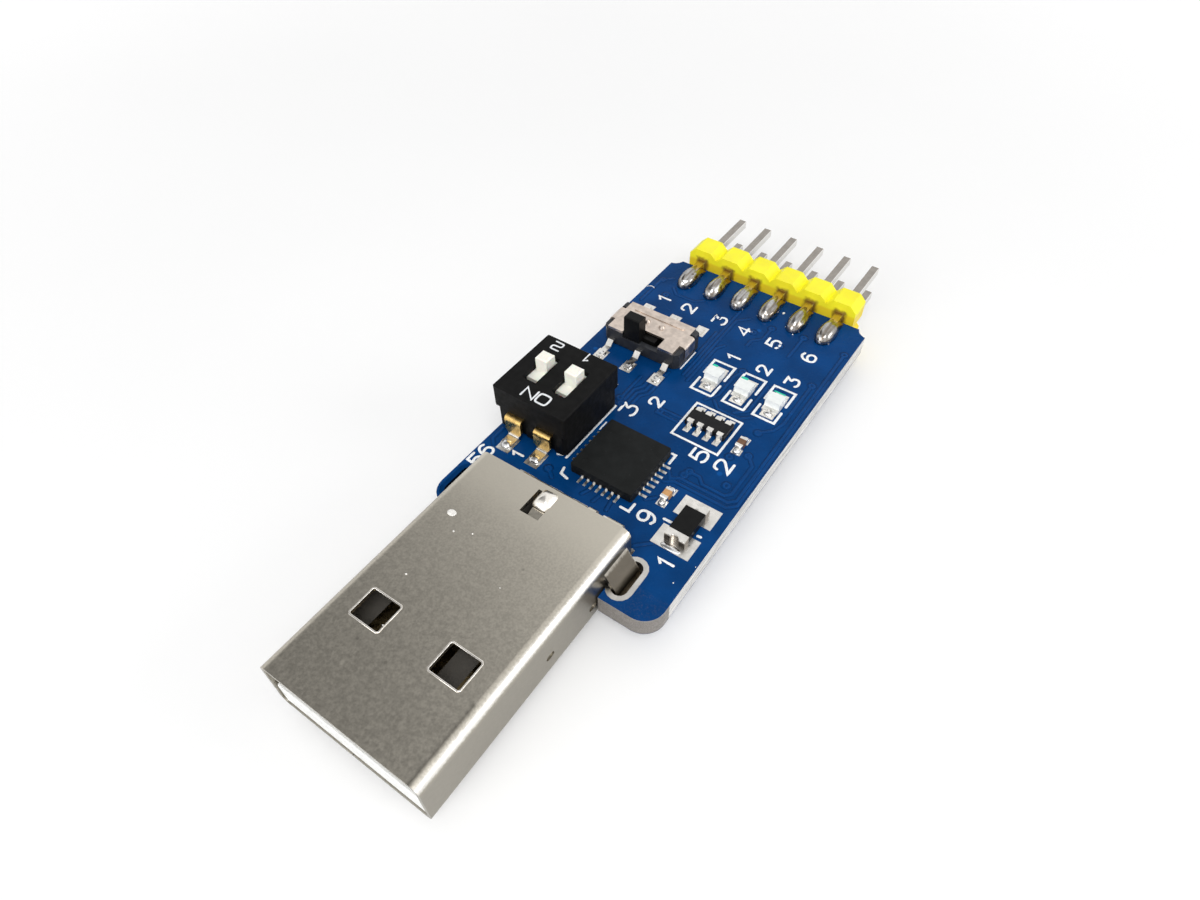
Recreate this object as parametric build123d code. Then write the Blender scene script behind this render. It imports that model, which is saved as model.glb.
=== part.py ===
from build123d import *
import math
import os

# USB to serial adapter board: a type A plug sunk into a small circuit board, a two-way DIP switch,
# a two-pole slide switch, a bridge chip, three indicator lamps and a double row pin header on the edge.
# X runs across the board, Y from the plug's mouth to the pin tips, Z up. Sizes are in millimetres.
# While modelling, the board's centre line is x = 0, the plug's mouth is y = 0, the board's top is z = 0.
# Values that end in _from_front are distances behind the board's front edge.

# circuit board
board_width = 18.0
board_thickness = 1.6
board_length = 31.9
board_corner_radius = 1.5
rear_notch_radius = 0.9
cutout_side_clearance = 0.1
cutout_rear_clearance = 0.35
pad_thickness = 0.04

# plug shell
plug_x = -1.0
plug_width = 12.0
plug_height = 4.5
plug_free_length = 15.0
plug_sunk_length = 3.8
plug_top_z = 2.3
shell_wall = 0.3
shell_bend_radius = 0.65
window_width = 2.27
window_length = 2.0
window_spacing = 6.1
window_y = 6.06
dimple_depth = 0.14
dimple_length = 0.7
dimple_width = 0.5
dimple_near_y = 10.4
dimple_far_y = 14.6
seam_gap = 0.08
latch_width = 1.45
latch_length = 2.0
latch_rear_margin = 0.55
latch_droop = 0.45
latch_tongue_width = 1.0
flap_width = 5.0
lug_near_x = 3.0
lug_near_width = 0.6
lug_far_x = 4.7
lug_far_width = 1.2

# plug inside
fit_clearance = 0.05
tongue_thickness = 1.95
tongue_recess = 0.08
tongue_side_gap = 0.15
hollow_depth = 11.8
contact_width = 1.0
contact_thickness = 0.15
contact_inner_pitch = 2.0
contact_outer_pitch = 7.0
contact_start_y = 1.4
contact_tail_length = 0.85

# shell legs and their slots
leg_width = 2.4
slot_length = 2.8
slot_width = 1.1
slot_inset = 0.3
ring_width = 0.35
barrel_wall = 0.05
leg_below_board = 0.5

# pin header
pin_pitch = 2.54
pin_count = 6
pin_side = 0.64
pin_tip_chamfer = 0.18
row_gap_above_board = 0.15
header_depth = 2.0
header_cell_chamfer = 0.55
header_edge_gap = 0.05
pin_reach = 5.5
tail_reach = 3.0
joint_width = 1.35
joint_length = 2.5
joint_height = 0.7
joint_taper = 0.62
header_pad_length = 1.5
header_pad_width = 1.25

# DIP switch
dip_x = -6.05
dip_from_front = 10.88
dip_width = 6.2
dip_length = 6.4
dip_top_z = 4.0
dip_skirt_z = 2.1
dip_standoff = 0.25
dip_wall = 0.45
dip_roof = 0.4
dip_pitch = 2.54
knob_width = 1.0
knob_length = 0.95
knob_height = 0.8
dip_travel = 1.0
dip_slot_spare = 0.45
knob_clearance = 0.1
slider_width = 1.5
slider_length = 2.65
slider_thickness = 0.7
slider_clearance = 0.06
dip_lead_thickness = 0.22
dip_lead_shoulder = 1.4
dip_lead_foot = 0.9
dip_lead_span = 9.1

# slide switch
mode_x = -4.72
mode_from_front = 21.3
mode_base_width = 6.8
mode_cover_width = 5.9
mode_flap_width = 6.95
mode_flap_length = 1.45
mode_length = 3.5
mode_top_z = 1.65
mode_cover_sheet = 0.2
mode_base_wall = 0.45
mode_floor_z = 0.45
mode_standoff = 0.12
lever_width = 1.4
lever_depth = 0.9
lever_above_cover = 1.55
mode_travel = 1.6
lever_clearance = 0.1
carriage_length = 3.6
carriage_thickness = 0.55
mode_pitch = 2.54
mode_lead_width = 0.5
mode_lead_thickness = 0.16
mode_lead_span = 6.7
dome_radius = 0.32
dome_spacing = 1.35
dome_height = 0.2
dome_from_centre = 0.35
rib_length = 4.6
rib_width = 0.34
rib_height = 0.07

# bridge chip
chip_x = 0.33
chip_from_front = 9.56
chip_side = 5.0
chip_height = 0.85
chip_lead_pitch = 0.5
chip_leads_per_side = 7
chip_lead_width = 0.2
chip_lead_length = 0.4
chip_lead_height = 0.2

# small parts on the top face
lamp_pitch = 2.54
lamp_first_x = 1.45
lamp_from_front = 20.45
lamp_length = 2.0
lamp_width = 1.2
lamp_base_height = 0.28
lamp_lens_height = 0.5
lamp_lens_length = 1.15
array_x = 3.6
array_from_front = 16.0
array_length = 3.2
array_width = 1.6
array_height = 0.5
array_pitch = 0.8
cap_brown_x = 6.4
cap_brown_from_front = 15.6
cap_tan_x = 4.5
cap_tan_from_front = 8.85
cap_length = 1.0
cap_width = 0.55
cap_height = 0.5
fuse_x = 6.87
fuse_from_front = 7.5
fuse_length = 3.2
fuse_width = 1.5
fuse_height = 0.7

# parts on the underside
driver_x = -1.2
driver_from_front = 18.0
driver_lead_count = 16
bus_x = 1.6
bus_from_front = 9.2
bus_lead_count = 8
soic_pitch = 1.27
soic_body_width = 3.9
soic_span = 6.0
soic_height = 1.5
soic_standoff = 0.1
soic_lead_width = 0.42
soic_lead_thickness = 0.2
pump_cap_length = 1.6
pump_cap_width = 0.8
pump_cap_height = 0.8
pump_cap_x = 7.0

# derived places
board_front_y = plug_free_length
board_rear_y = board_front_y + board_length
plug_length = plug_free_length + plug_sunk_length
dip_y = board_front_y + dip_from_front
mode_y = board_front_y + mode_from_front
chip_y = board_front_y + chip_from_front
lamp_y = board_front_y + lamp_from_front
array_y = board_front_y + array_from_front
cap_brown_y = board_front_y + cap_brown_from_front
cap_tan_y = board_front_y + cap_tan_from_front
fuse_y = board_front_y + fuse_from_front
driver_y = board_front_y + driver_from_front
bus_y = board_front_y + bus_from_front
board_bottom_z = -board_thickness
plug_bottom_z = plug_top_z - plug_height
plug_mid_z = plug_top_z - plug_height / 2
tongue_top_z = plug_bottom_z + shell_wall + tongue_thickness
upper_row_z = row_gap_above_board + pin_side / 2
lower_row_z = upper_row_z - pin_pitch
header_front_y = board_rear_y + header_edge_gap
header_rear_y = header_front_y + header_depth
header_bottom_z = lower_row_z - pin_pitch / 2
pin_tip_y = header_rear_y + pin_reach
tail_y = header_front_y - tail_reach
header_pad_y = tail_y + header_pad_length / 2 - 0.1
slot_x = plug_width / 2 + cutout_side_clearance + 0.15 + slot_width / 2 + barrel_wall
slot_y = board_front_y + slot_length / 2 + slot_inset + ring_width + barrel_wall
pin_xs = [(i - (pin_count - 1) / 2) * pin_pitch for i in range(pin_count)]
contact_xs = [plug_x + s * w / 2 for s in (-1, 1) for w in (contact_outer_pitch, contact_inner_pitch)]
dip_overhang = dip_width / 2 - dip_x - board_width / 2
to_origin = Location((dip_overhang / 2, -pin_tip_y / 2, -header_bottom_z))


def block(x0, x1, y0, y1, z0, z1):
    """Box between two corners."""
    return Pos((x0 + x1) / 2, (y0 + y1) / 2, (z0 + z1) / 2) * Box(x1 - x0, y1 - y0, z1 - z0)


def plate(sketch, z0, z1):
    """Flat sketch raised from z0 to z1."""
    return extrude(Pos(0, 0, z0) * sketch, amount=z1 - z0)


def strip(points, thickness, width, plane, bend=0):
    """Bent sheet strip: a thick line through points of the plane, as wide as width across it."""
    line = FilletPolyline(*points, radius=bend) if bend else Polyline(*points)
    return extrude(plane * trace(line, thickness), amount=width / 2, both=True)


def facing_y(x):
    """Plane across X whose first axis runs along Y and whose second runs up."""
    return Plane(origin=(x, 0, 0), x_dir=(0, 1, 0), z_dir=(1, 0, 0))


def facing_x(y):
    """Plane across Y whose first axis runs along X and whose second runs up."""
    return Plane(origin=(0, y, 0), x_dir=(1, 0, 0), z_dir=(0, -1, 0))


def solids_of(shapes):
    """All solids of a list of shapes, in one flat list."""
    return [s for shape in shapes for s in shape.solids()]


def write(name, *shapes):
    """Move the pieces to the part's origin and write them as one node."""
    pieces = solids_of([to_origin * shape for shape in shapes])
    export_step(pieces[0] if len(pieces) == 1 else Compound(children=pieces), f"parts/{name}.step")


def leg_slots(grow):
    """Outline of both leg slots, grown by a margin, each end rounded in eight straight runs."""
    radius = slot_width / 2 + grow
    middle = (slot_length - slot_width) / 2
    turns = [math.pi * k / 8 for k in range(9)]
    outline = [(radius * math.cos(a), middle + radius * math.sin(a)) for a in turns]
    outline += [(-x, -y) for x, y in outline]
    hole = make_face(Polyline(*outline, close=True))
    return [Pos(plug_x + s * slot_x, slot_y) * hole for s in (-1, 1)]


def plug_cutout():
    """Notch in the board's front edge that the plug shell sinks into."""
    half = plug_width / 2 + cutout_side_clearance
    return plug_x - half, plug_x + half, plug_length + cutout_rear_clearance


def make_board():
    """Board with rounded front corners, notched rear corners, the plug cut-out and the leg slots."""
    mid_y = (board_front_y + board_rear_y) / 2
    outline = Pos(0, mid_y) * Rectangle(board_width, board_rear_y - board_front_y)
    outline = fillet(outline.vertices().sort_by(Axis.Y)[:2], board_corner_radius)
    for side in (-1, 1):
        outline -= Pos(side * (board_width / 2 + 0.1), board_rear_y + 0.2) * Circle(rear_notch_radius)
    x0, x1, y1 = plug_cutout()
    outline -= Pos((x0 + x1) / 2, y1 / 2) * Rectangle(x1 - x0, y1)
    for hole in leg_slots(barrel_wall):
        outline -= hole
    return plate(outline, board_bottom_z, 0)


def make_slot_rings():
    """Plated barrel and ring on both faces of each leg slot, open towards the plug cut-out."""
    x0, x1, y1 = plug_cutout()
    gap = Pos((x0 + x1) / 2, y1 / 2) * Rectangle(x1 - x0, y1)
    rings = []
    for hole, outer, ring in zip(leg_slots(0), leg_slots(barrel_wall), leg_slots(ring_width)):
        barrel = plate(outer - hole, board_bottom_z - pad_thickness, pad_thickness)
        top = plate(ring - outer - gap, 0, pad_thickness)
        bottom = plate(ring - outer - gap, board_bottom_z - pad_thickness, board_bottom_z)
        rings.append(barrel + top + bottom)
    return rings


def shell_tube():
    """Folded sheet tube of the plug, with its dovetailed seam along the bottom."""
    outer = RectangleRounded(plug_width, plug_height, shell_bend_radius)
    inner = RectangleRounded(plug_width - 2 * shell_wall, plug_height - 2 * shell_wall,
                             shell_bend_radius - shell_wall)
    face = Plane(origin=(plug_x, 0, plug_mid_z), x_dir=(1, 0, 0), z_dir=(0, 1, 0)) * (outer - inner)
    tube = extrude(face, amount=plug_length)
    seam = [(0, -0.1), (0, plug_length * 0.14)]
    for k in (0.14, 0.55):
        a = plug_length * k
        seam += [(0.75, a - 0.35), (0.75, a + 1.55), (0, a + 1.2)]
    seam.append((0, plug_length + 0.1))
    cut = plate(trace(Polyline(*seam), seam_gap), plug_bottom_z - 0.1, plug_bottom_z + shell_wall + 0.05)
    return tube - Pos(plug_x, 0, 0) * cut


def shell_windows():
    """Four latch windows, two through the top sheet and two through the bottom sheet."""
    cuts = []
    for sx in (-1, 1):
        x = plug_x + sx * window_spacing / 2
        hole = Pos(x, window_y) * RectangleRounded(window_width, window_length, 0.12)
        cuts.append(plate(hole, plug_top_z - shell_wall - 0.1, plug_top_z + 0.1))
        cuts.append(plate(hole, plug_bottom_z - 0.1, plug_bottom_z + shell_wall + 0.1))
    return cuts


def shell_dimples():
    """Shallow oval dents pressed into the side walls."""
    dents = []
    for side in (-1, 1):
        for y, z in ((dimple_near_y, plug_mid_z - 0.35), (dimple_far_y, plug_mid_z - 0.75)):
            wall = Plane(origin=(plug_x + side * plug_width / 2, y, z), x_dir=(0, 1, 0), z_dir=(side, 0, 0))
            dents.append(extrude(wall * SlotOverall(dimple_length, dimple_width), amount=dimple_depth, both=True))
    return dents


def latch_window_y():
    """Front and rear edge of the small latch window in the top sheet."""
    rear = plug_length - latch_rear_margin
    return rear - latch_length, rear


def make_shell():
    """Plug shell with windows, dimples, sprung latch, rear flap, lugs and the two flared legs."""
    shell = shell_tube()
    for cut in shell_windows() + shell_dimples():
        shell -= cut
    y0, y1 = latch_window_y()
    z = plug_top_z - shell_wall / 2
    shell -= block(plug_x - latch_width / 2, plug_x + latch_width / 2, y0, y1,
                   plug_top_z - shell_wall - 0.1, plug_top_z + 0.1)
    tab = [(y1 + 0.2, z), (y1 - 0.15, z), (y0 + 0.25, z - latch_droop)]
    shell += strip(tab, shell_wall, latch_tongue_width, facing_y(plug_x + (latch_width - latch_tongue_width) * 0.4), 0.3)
    flap = [(plug_length - 0.2, z), (plug_length + 0.12, z), (plug_length + 0.12, tongue_top_z + 0.6)]
    shell += strip(flap, shell_wall * 0.8, flap_width, facing_y(plug_x), 0.2)
    for x, w in ((lug_near_x, lug_near_width), (lug_far_x, lug_far_width)):
        lug = [(plug_length - 0.2, z - 0.02), (plug_length + 0.2, z - 0.02), (plug_length + 0.3, z - 0.9)]
        shell += strip(lug, shell_wall * 0.8, w, facing_y(plug_x + x), 0.25)
    wall_x = plug_width / 2 - shell_wall / 2
    end_z = board_bottom_z - leg_below_board
    leg = [(wall_x, 1.5), (wall_x, 1.2), (slot_x, -0.35), (slot_x, end_z)]
    wing = strip(leg, shell_wall * 0.9, leg_width, facing_x(slot_y), 0.22)
    shell += Pos(plug_x, 0, 0) * wing
    shell += Pos(plug_x, 0, 0) * mirror(wing, about=Plane.YZ)
    return shell


def make_leg_solder():
    """Solder that fills the lower half of each slot around its leg."""
    end_z = board_bottom_z - leg_below_board
    fills = []
    for s, hole in zip((-1, 1), leg_slots(-0.01)):
        x = plug_x + s * slot_x
        leg = block(x - shell_wall * 0.45, x + shell_wall * 0.45, slot_y - leg_width / 2,
                    slot_y + leg_width / 2, end_z - 0.1, 0)
        core = plate(hole, board_bottom_z - 0.1, board_bottom_z * 0.6)
        wide = Pos(x, slot_y, board_bottom_z - pad_thickness) * Rectangle(slot_width + 0.1, slot_length + 0.1)
        slim = Pos(x, slot_y, end_z + 0.1) * Rectangle(shell_wall + 0.3, leg_width + 0.15)
        fills.append(core + loft([wide, slim], ruled=True) - leg)
    return fills


def contact_strip(x):
    """Flat plug contact on the tongue with its tail stepped up to the board's top face."""
    z = tongue_top_z - contact_thickness / 2 + 0.03
    tail_z = pad_thickness + contact_thickness / 2
    end = plug_length + cutout_rear_clearance + 0.05
    rise = end - 0.5
    path = [(contact_start_y, z), (rise - 0.6, z), (rise, tail_z), (end + contact_tail_length, tail_z)]
    return strip(path, contact_thickness, contact_width, facing_y(x), 0.2)


def make_insulator():
    """White moulded tongue and its rear block, with contact grooves and a pocket under the latch."""
    half = plug_width / 2 - shell_wall
    top = plug_top_z - shell_wall - fit_clearance
    bottom = plug_bottom_z + shell_wall + fit_clearance
    rear = plug_length - 0.35
    tongue = block(plug_x - half + tongue_side_gap, plug_x + half - tongue_side_gap,
                   tongue_recess, hollow_depth + 0.1, bottom, tongue_top_z)
    tongue = fillet(tongue.edges().group_by(Axis.Y)[0], 0.1)
    body = block(plug_x - half + fit_clearance, plug_x + half - fit_clearance, hollow_depth, rear, bottom, top)
    body = chamfer(body.edges().filter_by(Axis.Y), 0.3)
    body += tongue
    y0, y1 = latch_window_y()
    body -= block(plug_x - latch_width / 2 - 0.1, plug_x + latch_width / 2 + 0.1, y0 - 0.3, rear + 0.1,
                  top - latch_droop - shell_wall - 0.25, top + 0.1)
    body -= block(plug_x - flap_width / 2 - 0.2, plug_x + flap_width / 2 + 0.2, rear - 0.3, rear + 0.1, tongue_top_z + 0.35, top + 0.1)
    for x in contact_xs:
        body -= contact_strip(x)
    return body


def cell_outline(z):
    """One row of header cells with chamfered corners, seen along the pins."""
    h = pin_pitch / 2
    c = header_cell_chamfer
    corners = [(-h, -h + c), (-h + c, -h), (h - c, -h), (h, -h + c), (h, h - c), (h - c, h), (-h + c, h), (-h, h - c)]
    cell = make_face(Polyline(*corners, close=True))
    row = Pos(pin_xs[0], z) * cell
    for x in pin_xs[1:]:
        row += Pos(x, z) * cell
    return row


def make_header_body():
    """Double row header body: notched between the pins on its long sides, solid web in the middle."""
    web = Pos(0, (upper_row_z + lower_row_z) / 2) * Rectangle(pin_xs[-1] - pin_xs[0], pin_pitch)
    outline = cell_outline(upper_row_z) + cell_outline(lower_row_z) + web
    for x in pin_xs:
        for z in (upper_row_z, lower_row_z):
            outline -= Pos(x, z) * Rectangle(pin_side, pin_side)
    return extrude(facing_x(header_front_y) * outline, amount=-header_depth)


def header_pin(x, z):
    """Square pin with both ends tapered."""
    mid = (tail_y + pin_tip_y) / 2
    pin = Pos(x, mid, z) * Box(pin_side, pin_tip_y - tail_y, pin_side)
    tip = pin.faces().sort_by(Axis.Y)[-1]
    pin = chamfer(tip.edges(), pin_tip_chamfer)
    return pin


def make_pins(z):
    """One row of header pins."""
    return [header_pin(x, z) for x in pin_xs]


def joint_outline(share):
    """Eight-sided outline of a solder joint, at a share of its full size."""
    outline = Rectangle(joint_width * share, joint_length * share)
    return chamfer(outline.vertices(), joint_width * share * 0.28)


def make_joints(side):
    """Solder fillets of one pin row: 1 on the top face, -1 on the underside."""
    face_z = 0 if side > 0 else board_bottom_z
    row_z = upper_row_z if side > 0 else lower_row_z
    y = tail_y + joint_length / 2 - 0.3
    joints = []
    for x in pin_xs:
        foot = Pos(x, y, face_z + side * pad_thickness) * joint_outline(1)
        crown = Pos(x, y, face_z + side * joint_height) * joint_outline(joint_taper)
        pin = Pos(x, (tail_y + board_rear_y) / 2, row_z) * Box(pin_side, board_rear_y - tail_y, pin_side)
        joints.append(loft([foot, crown], ruled=True) - pin)
    return joints


def pad(x, y, width, length):
    """Bare tinned pad on the top face."""
    return block(x - width / 2, x + width / 2, y - length / 2, y + length / 2, 0, pad_thickness)


def chip_lead_places():
    """Centres of the bridge chip's leads and whether each runs along X or Y."""
    places = []
    reach = chip_side / 2 - chip_lead_length / 2 + 0.02
    for i in range(chip_leads_per_side):
        step = (i - (chip_leads_per_side - 1) / 2) * chip_lead_pitch
        for s in (-1, 1):
            places.append((chip_x + step, chip_y + s * reach, False, s))
            places.append((chip_x + s * reach, chip_y + step, True, s))
    return places


def make_top_pads():
    """Every tinned pad on the top face."""
    pads = [pad(x, header_pad_y, header_pad_width, header_pad_length) for x in pin_xs]
    end = plug_length + cutout_rear_clearance + 0.05
    pads += [pad(x, end + contact_tail_length / 2 + 0.1, contact_width + 0.2, contact_tail_length + 0.2) for x in contact_xs]
    foot = dip_lead_span / 2 - 0.25
    for sx in (-1, 1):
        for sy in (-1, 1):
            pads.append(pad(dip_x + sx * dip_pitch / 2, dip_y + sy * foot, dip_lead_foot + 0.2, 1.5))
    foot = mode_lead_span / 2
    for i in (-1, 0, 1):
        for sy in (-1, 1):
            pads.append(pad(mode_x + i * mode_pitch, mode_y + sy * foot, mode_lead_width + 0.45, 1.15))
    for x, y, along_x, s in chip_lead_places():
        w, l = (chip_lead_length + 0.5, chip_lead_width) if along_x else (chip_lead_width, chip_lead_length + 0.5)
        pads.append(pad(x + (0.3 * s if along_x else 0), y + (0 if along_x else 0.3 * s), w, l))
    for i in range(3):
        for s in (-1, 1):
            pads.append(pad(lamp_first_x + i * lamp_pitch, lamp_y + s * (lamp_length / 2 + 0.05), lamp_width - 0.15, 0.7))
    for i in range(4):
        for s in (-1, 1):
            x = array_x + (i - 1.5) * array_pitch
            pads.append(pad(x, array_y + s * (array_width / 2 + 0.2), array_pitch * 0.56, 0.75))
    for x, y in ((cap_brown_x, cap_brown_y), (cap_tan_x, cap_tan_y)):
        pads += [pad(x, y + s * (cap_length / 2 + 0.1), cap_width + 0.15, 0.6) for s in (-1, 1)]
    pads += [pad(fuse_x, fuse_y + s * (fuse_length / 2 - 0.2), fuse_width + 1.3, 1.7) for s in (-1, 1)]
    return pads


def dip_cavity_y():
    """Length of the room that a DIP slider runs in."""
    return slider_length + dip_travel + 2 * knob_clearance


def dip_lead(x, side):
    """Gull-wing lead whose wide shoulder tapers to a narrower soldered foot."""
    t = dip_lead_thickness
    out = dip_length / 2 + 0.32
    foot_z = pad_thickness + t / 2
    path = [(out - 0.92, dip_skirt_z - 0.3), (out, dip_skirt_z - 0.3), (out, foot_z), (dip_lead_span / 2, foot_z)]
    wide = dip_lead_shoulder / 2
    slim = dip_lead_foot / 2
    front = make_face(Polyline((-wide, dip_skirt_z), (wide, dip_skirt_z), (wide, 0.75), (slim, 0.35), (slim, 0),
                               (-slim, 0), (-slim, 0.35), (-wide, 0.75), close=True))
    lead = strip(path, t, dip_lead_shoulder, facing_y(0), 0.24)
    lead &= extrude(facing_x(0) * front, amount=-dip_lead_span)
    if side < 0:
        lead = mirror(lead, about=Plane.XZ)
    return Pos(x, dip_y, 0) * lead


def make_dip_leads():
    """Four leads of the DIP switch."""
    return [dip_lead(dip_x + sx * dip_pitch / 2, sy) for sx in (-1, 1) for sy in (-1, 1)]


def slider_floor_z():
    """Height of the underside of a DIP slider."""
    return dip_top_z - dip_roof - slider_clearance - slider_thickness


def make_dip_base():
    """Black lower moulding: plinth, raised deck inside the cover and a contact groove for each way."""
    half_w = dip_width / 2 - 0.12
    half_l = dip_length / 2 - 0.06
    base = block(-half_w, half_w, -half_l, half_l, dip_standoff, dip_skirt_z)
    base = chamfer(base.edges().filter_by(Axis.Z), 0.25)
    deck_w = dip_width / 2 - dip_wall - fit_clearance
    deck_l = dip_length / 2 - dip_wall - fit_clearance
    base += block(-deck_w, deck_w, -deck_l, deck_l, dip_skirt_z - 0.1, slider_floor_z() - slider_clearance)
    for sx in (-1, 1):
        x = sx * dip_pitch / 2
        base -= block(x - 0.5, x + 0.5, -dip_cavity_y() / 2, dip_cavity_y() / 2, slider_floor_z() - 0.5, dip_top_z)
        for sy in (-1, 1):
            y0, y1 = sorted((sy * (dip_length / 2 - 0.18), sy * (dip_length / 2 + 0.8)))
            base -= block(x - dip_lead_shoulder / 2 - 0.1, x + dip_lead_shoulder / 2 + 0.1, y0, y1, 0, 0.9)
    base = Pos(dip_x, dip_y, 0) * base
    for lead in make_dip_leads():
        base -= lead
    return base


def make_dip_cover():
    """Black cover with two slots, a partition between the sliders and a recessed lower rim."""
    cover = block(-dip_width / 2, dip_width / 2, -dip_length / 2, dip_length / 2, dip_skirt_z, dip_top_z)
    cover = fillet(cover.edges().filter_by(Axis.Z), 0.15)
    cover = chamfer(cover.faces().sort_by(Axis.Z)[-1].edges(), 0.08)
    inner_w = dip_width / 2 - dip_wall
    inner_l = dip_length / 2 - dip_wall
    deck = slider_floor_z() - slider_clearance
    roof = dip_top_z - dip_roof
    cover -= block(-inner_w, inner_w, -inner_l, inner_l, dip_skirt_z - 0.1, deck + 0.02)
    for sx in (-1, 1):
        x = sx * dip_pitch / 2
        room = slider_width / 2 + knob_clearance
        cover -= block(x - room, x + room, -dip_cavity_y() / 2, dip_cavity_y() / 2, deck, roof)
        slot = Pos(x, 0) * Rectangle(knob_width + 2 * knob_clearance, knob_length + dip_travel + 2 * dip_slot_spare)
        cover -= plate(slot, roof - 0.1, dip_top_z + 0.1)
    return Pos(dip_x, dip_y, 0) * cover


def make_dip_slider(side):
    """White slider: a platform under the cover with the square knob standing through the slot."""
    z0 = slider_floor_z()
    body = block(-slider_width / 2, slider_width / 2, -slider_length / 2, slider_length / 2, z0, z0 + slider_thickness)
    knob = block(-knob_width / 2, knob_width / 2, -knob_length / 2, knob_length / 2, z0 + slider_thickness - 0.1,
                 dip_top_z + knob_height)
    knob = chamfer(knob.faces().sort_by(Axis.Z)[-1].edges(), 0.1)
    return Pos(dip_x + side * dip_pitch / 2, dip_y + dip_travel / 2, 0) * (body + knob)


def make_dip_wiper(side):
    """Bowed contact spring under a slider."""
    t = 0.1
    z = slider_floor_z() - t / 2
    reach = slider_length / 2 - 0.12
    path = [(-reach, z - 0.28), (-0.5, z), (0.5, z), (reach, z - 0.28)]
    spring = strip(path, t, 0.7, facing_y(0), 0.25)
    return Pos(dip_x + side * dip_pitch / 2, dip_y + dip_travel / 2, 0) * spring


def mode_lead(x, side):
    """Slim gull-wing terminal of the slide switch."""
    t = mode_lead_thickness
    face = mode_length / 2
    foot_z = pad_thickness + t / 2
    toe = mode_lead_span / 2 + 0.3
    path = [(face - 0.5, 0.5), (face + 0.2, 0.5), (face + 0.62, foot_z), (toe, foot_z)]
    lead = strip(path, t, mode_lead_width, facing_y(0))
    if side < 0:
        lead = mirror(lead, about=Plane.XZ)
    return Pos(x, mode_y, 0) * lead


def make_mode_leads():
    """Six terminals, three on each long side."""
    return [mode_lead(mode_x + i * mode_pitch, s) for i in (-1, 0, 1) for s in (-1, 1)]


def mode_slot_x():
    """Left and right end of the lever's slot, from the switch's centre."""
    half = (lever_width + mode_travel) / 2 + lever_clearance
    return -half, half


def carriage_y():
    """Front and rear face of the sliding carriage, from the switch's centre."""
    front = -mode_length / 2 + mode_base_wall + lever_clearance
    rear = mode_length / 2 - mode_base_wall - lever_clearance
    return front, rear


def carriage_top_z():
    """Top of the carriage, under the cover sheet."""
    return mode_top_z - mode_cover_sheet - lever_clearance


def make_mode_base():
    """Black tray with a recess for the carriage, a front notch for the lever and four corner posts."""
    half_w = mode_base_width / 2
    half_l = mode_length / 2
    top = mode_top_z - mode_cover_sheet
    base = block(-half_w, half_w, -half_l, half_l, mode_standoff, top)
    base = chamfer(base.edges().filter_by(Axis.Z), 0.35)
    room = (carriage_length + mode_travel) / 2 + lever_clearance
    y0, y1 = carriage_y()
    base -= block(-room, room, y0 - lever_clearance, y1 + lever_clearance, mode_floor_z, top + 0.1)
    s0, s1 = mode_slot_x()
    notch_z = carriage_top_z() - 0.3
    base -= block(s0, s1, -half_l - 0.1, y0, notch_z, top + 0.1)
    cover_half = mode_cover_width / 2
    flap_room = mode_flap_length / 2 + 0.05
    for sx in (-1, 1):
        x0, x1 = sorted((sx * (mode_flap_width / 2 - mode_cover_sheet - 0.03), sx * (half_w + 0.2)))
        base -= block(x0, x1, -flap_room, flap_room, mode_floor_z, top + 0.1)
        for sy, height in ((-1, mode_top_z - 0.2), (1, mode_top_z)):
            post = Pos(sx * (cover_half + 0.22), sy * (half_l - 0.55), (top - 0.3 + height) / 2)
            post *= Box(0.44, 0.6, height - top + 0.3)
            outer = post.faces().sort_by(Axis.X)[-1 if sx > 0 else 0]
            post = chamfer(outer.edges().sort_by(Axis.Z)[-1:], 0.12)
            base += post
    base = Pos(mode_x, mode_y, 0) * base
    for lead in make_mode_leads():
        base -= lead
    return base


def make_mode_cover():
    """Stamped metal cover: lever slot open to the front, two domes, a long rib, side flaps, post notches."""
    half_w = mode_cover_width / 2
    half_l = mode_length / 2
    z0 = mode_top_z - mode_cover_sheet
    sheet = Rectangle(2 * half_w, 2 * half_l)
    s0, s1 = mode_slot_x()
    slot_depth = lever_depth + 2 * lever_clearance
    sheet -= Pos((s0 + s1) / 2, -half_l + slot_depth / 2 - 0.1) * Rectangle(s1 - s0, slot_depth + 0.2)
    cover = plate(sheet, z0, mode_top_z)
    mid_z = mode_top_z - mode_cover_sheet / 2
    edge_x = (mode_flap_width - mode_cover_sheet) / 2
    bridge = [(-edge_x, mode_floor_z + 0.1), (-edge_x, mid_z), (edge_x, mid_z), (edge_x, mode_floor_z + 0.1)]
    flaps = strip(bridge, mode_cover_sheet, mode_flap_length, facing_x(0), 0.2)
    cover += flaps - block(-half_w + 0.1, half_w - 0.1, -half_l, half_l, 0, mode_top_z + 0.1)
    for sx in (-1, 1):
        dome = Cone(dome_radius, dome_radius * 0.5, dome_height + 0.1)
        cover += Pos(sx * dome_spacing / 2, dome_from_centre, mode_top_z + (dome_height - 0.1) / 2) * dome
    rib = Pos(0, half_l - 0.62) * SlotOverall(rib_length, rib_width)
    cover += plate(rib, z0 + 0.02, mode_top_z + rib_height)
    return Pos(mode_x, mode_y, 0) * cover


def make_mode_lever():
    """Black carriage with the tall lever at its front edge, at the left end of its travel."""
    top = carriage_top_z()
    y0, y1 = carriage_y()
    carriage = block(-carriage_length / 2, carriage_length / 2, y0, y1, top - carriage_thickness, top)
    front = -mode_length / 2 + 0.05
    lever = block(-lever_width / 2, lever_width / 2, front, front + lever_depth, top - 0.25, mode_top_z + lever_above_cover)
    lever = chamfer(lever.faces().sort_by(Axis.Z)[-1].edges(), 0.08)
    return Pos(mode_x - mode_travel / 2, mode_y, 0) * (carriage + lever)


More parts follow.
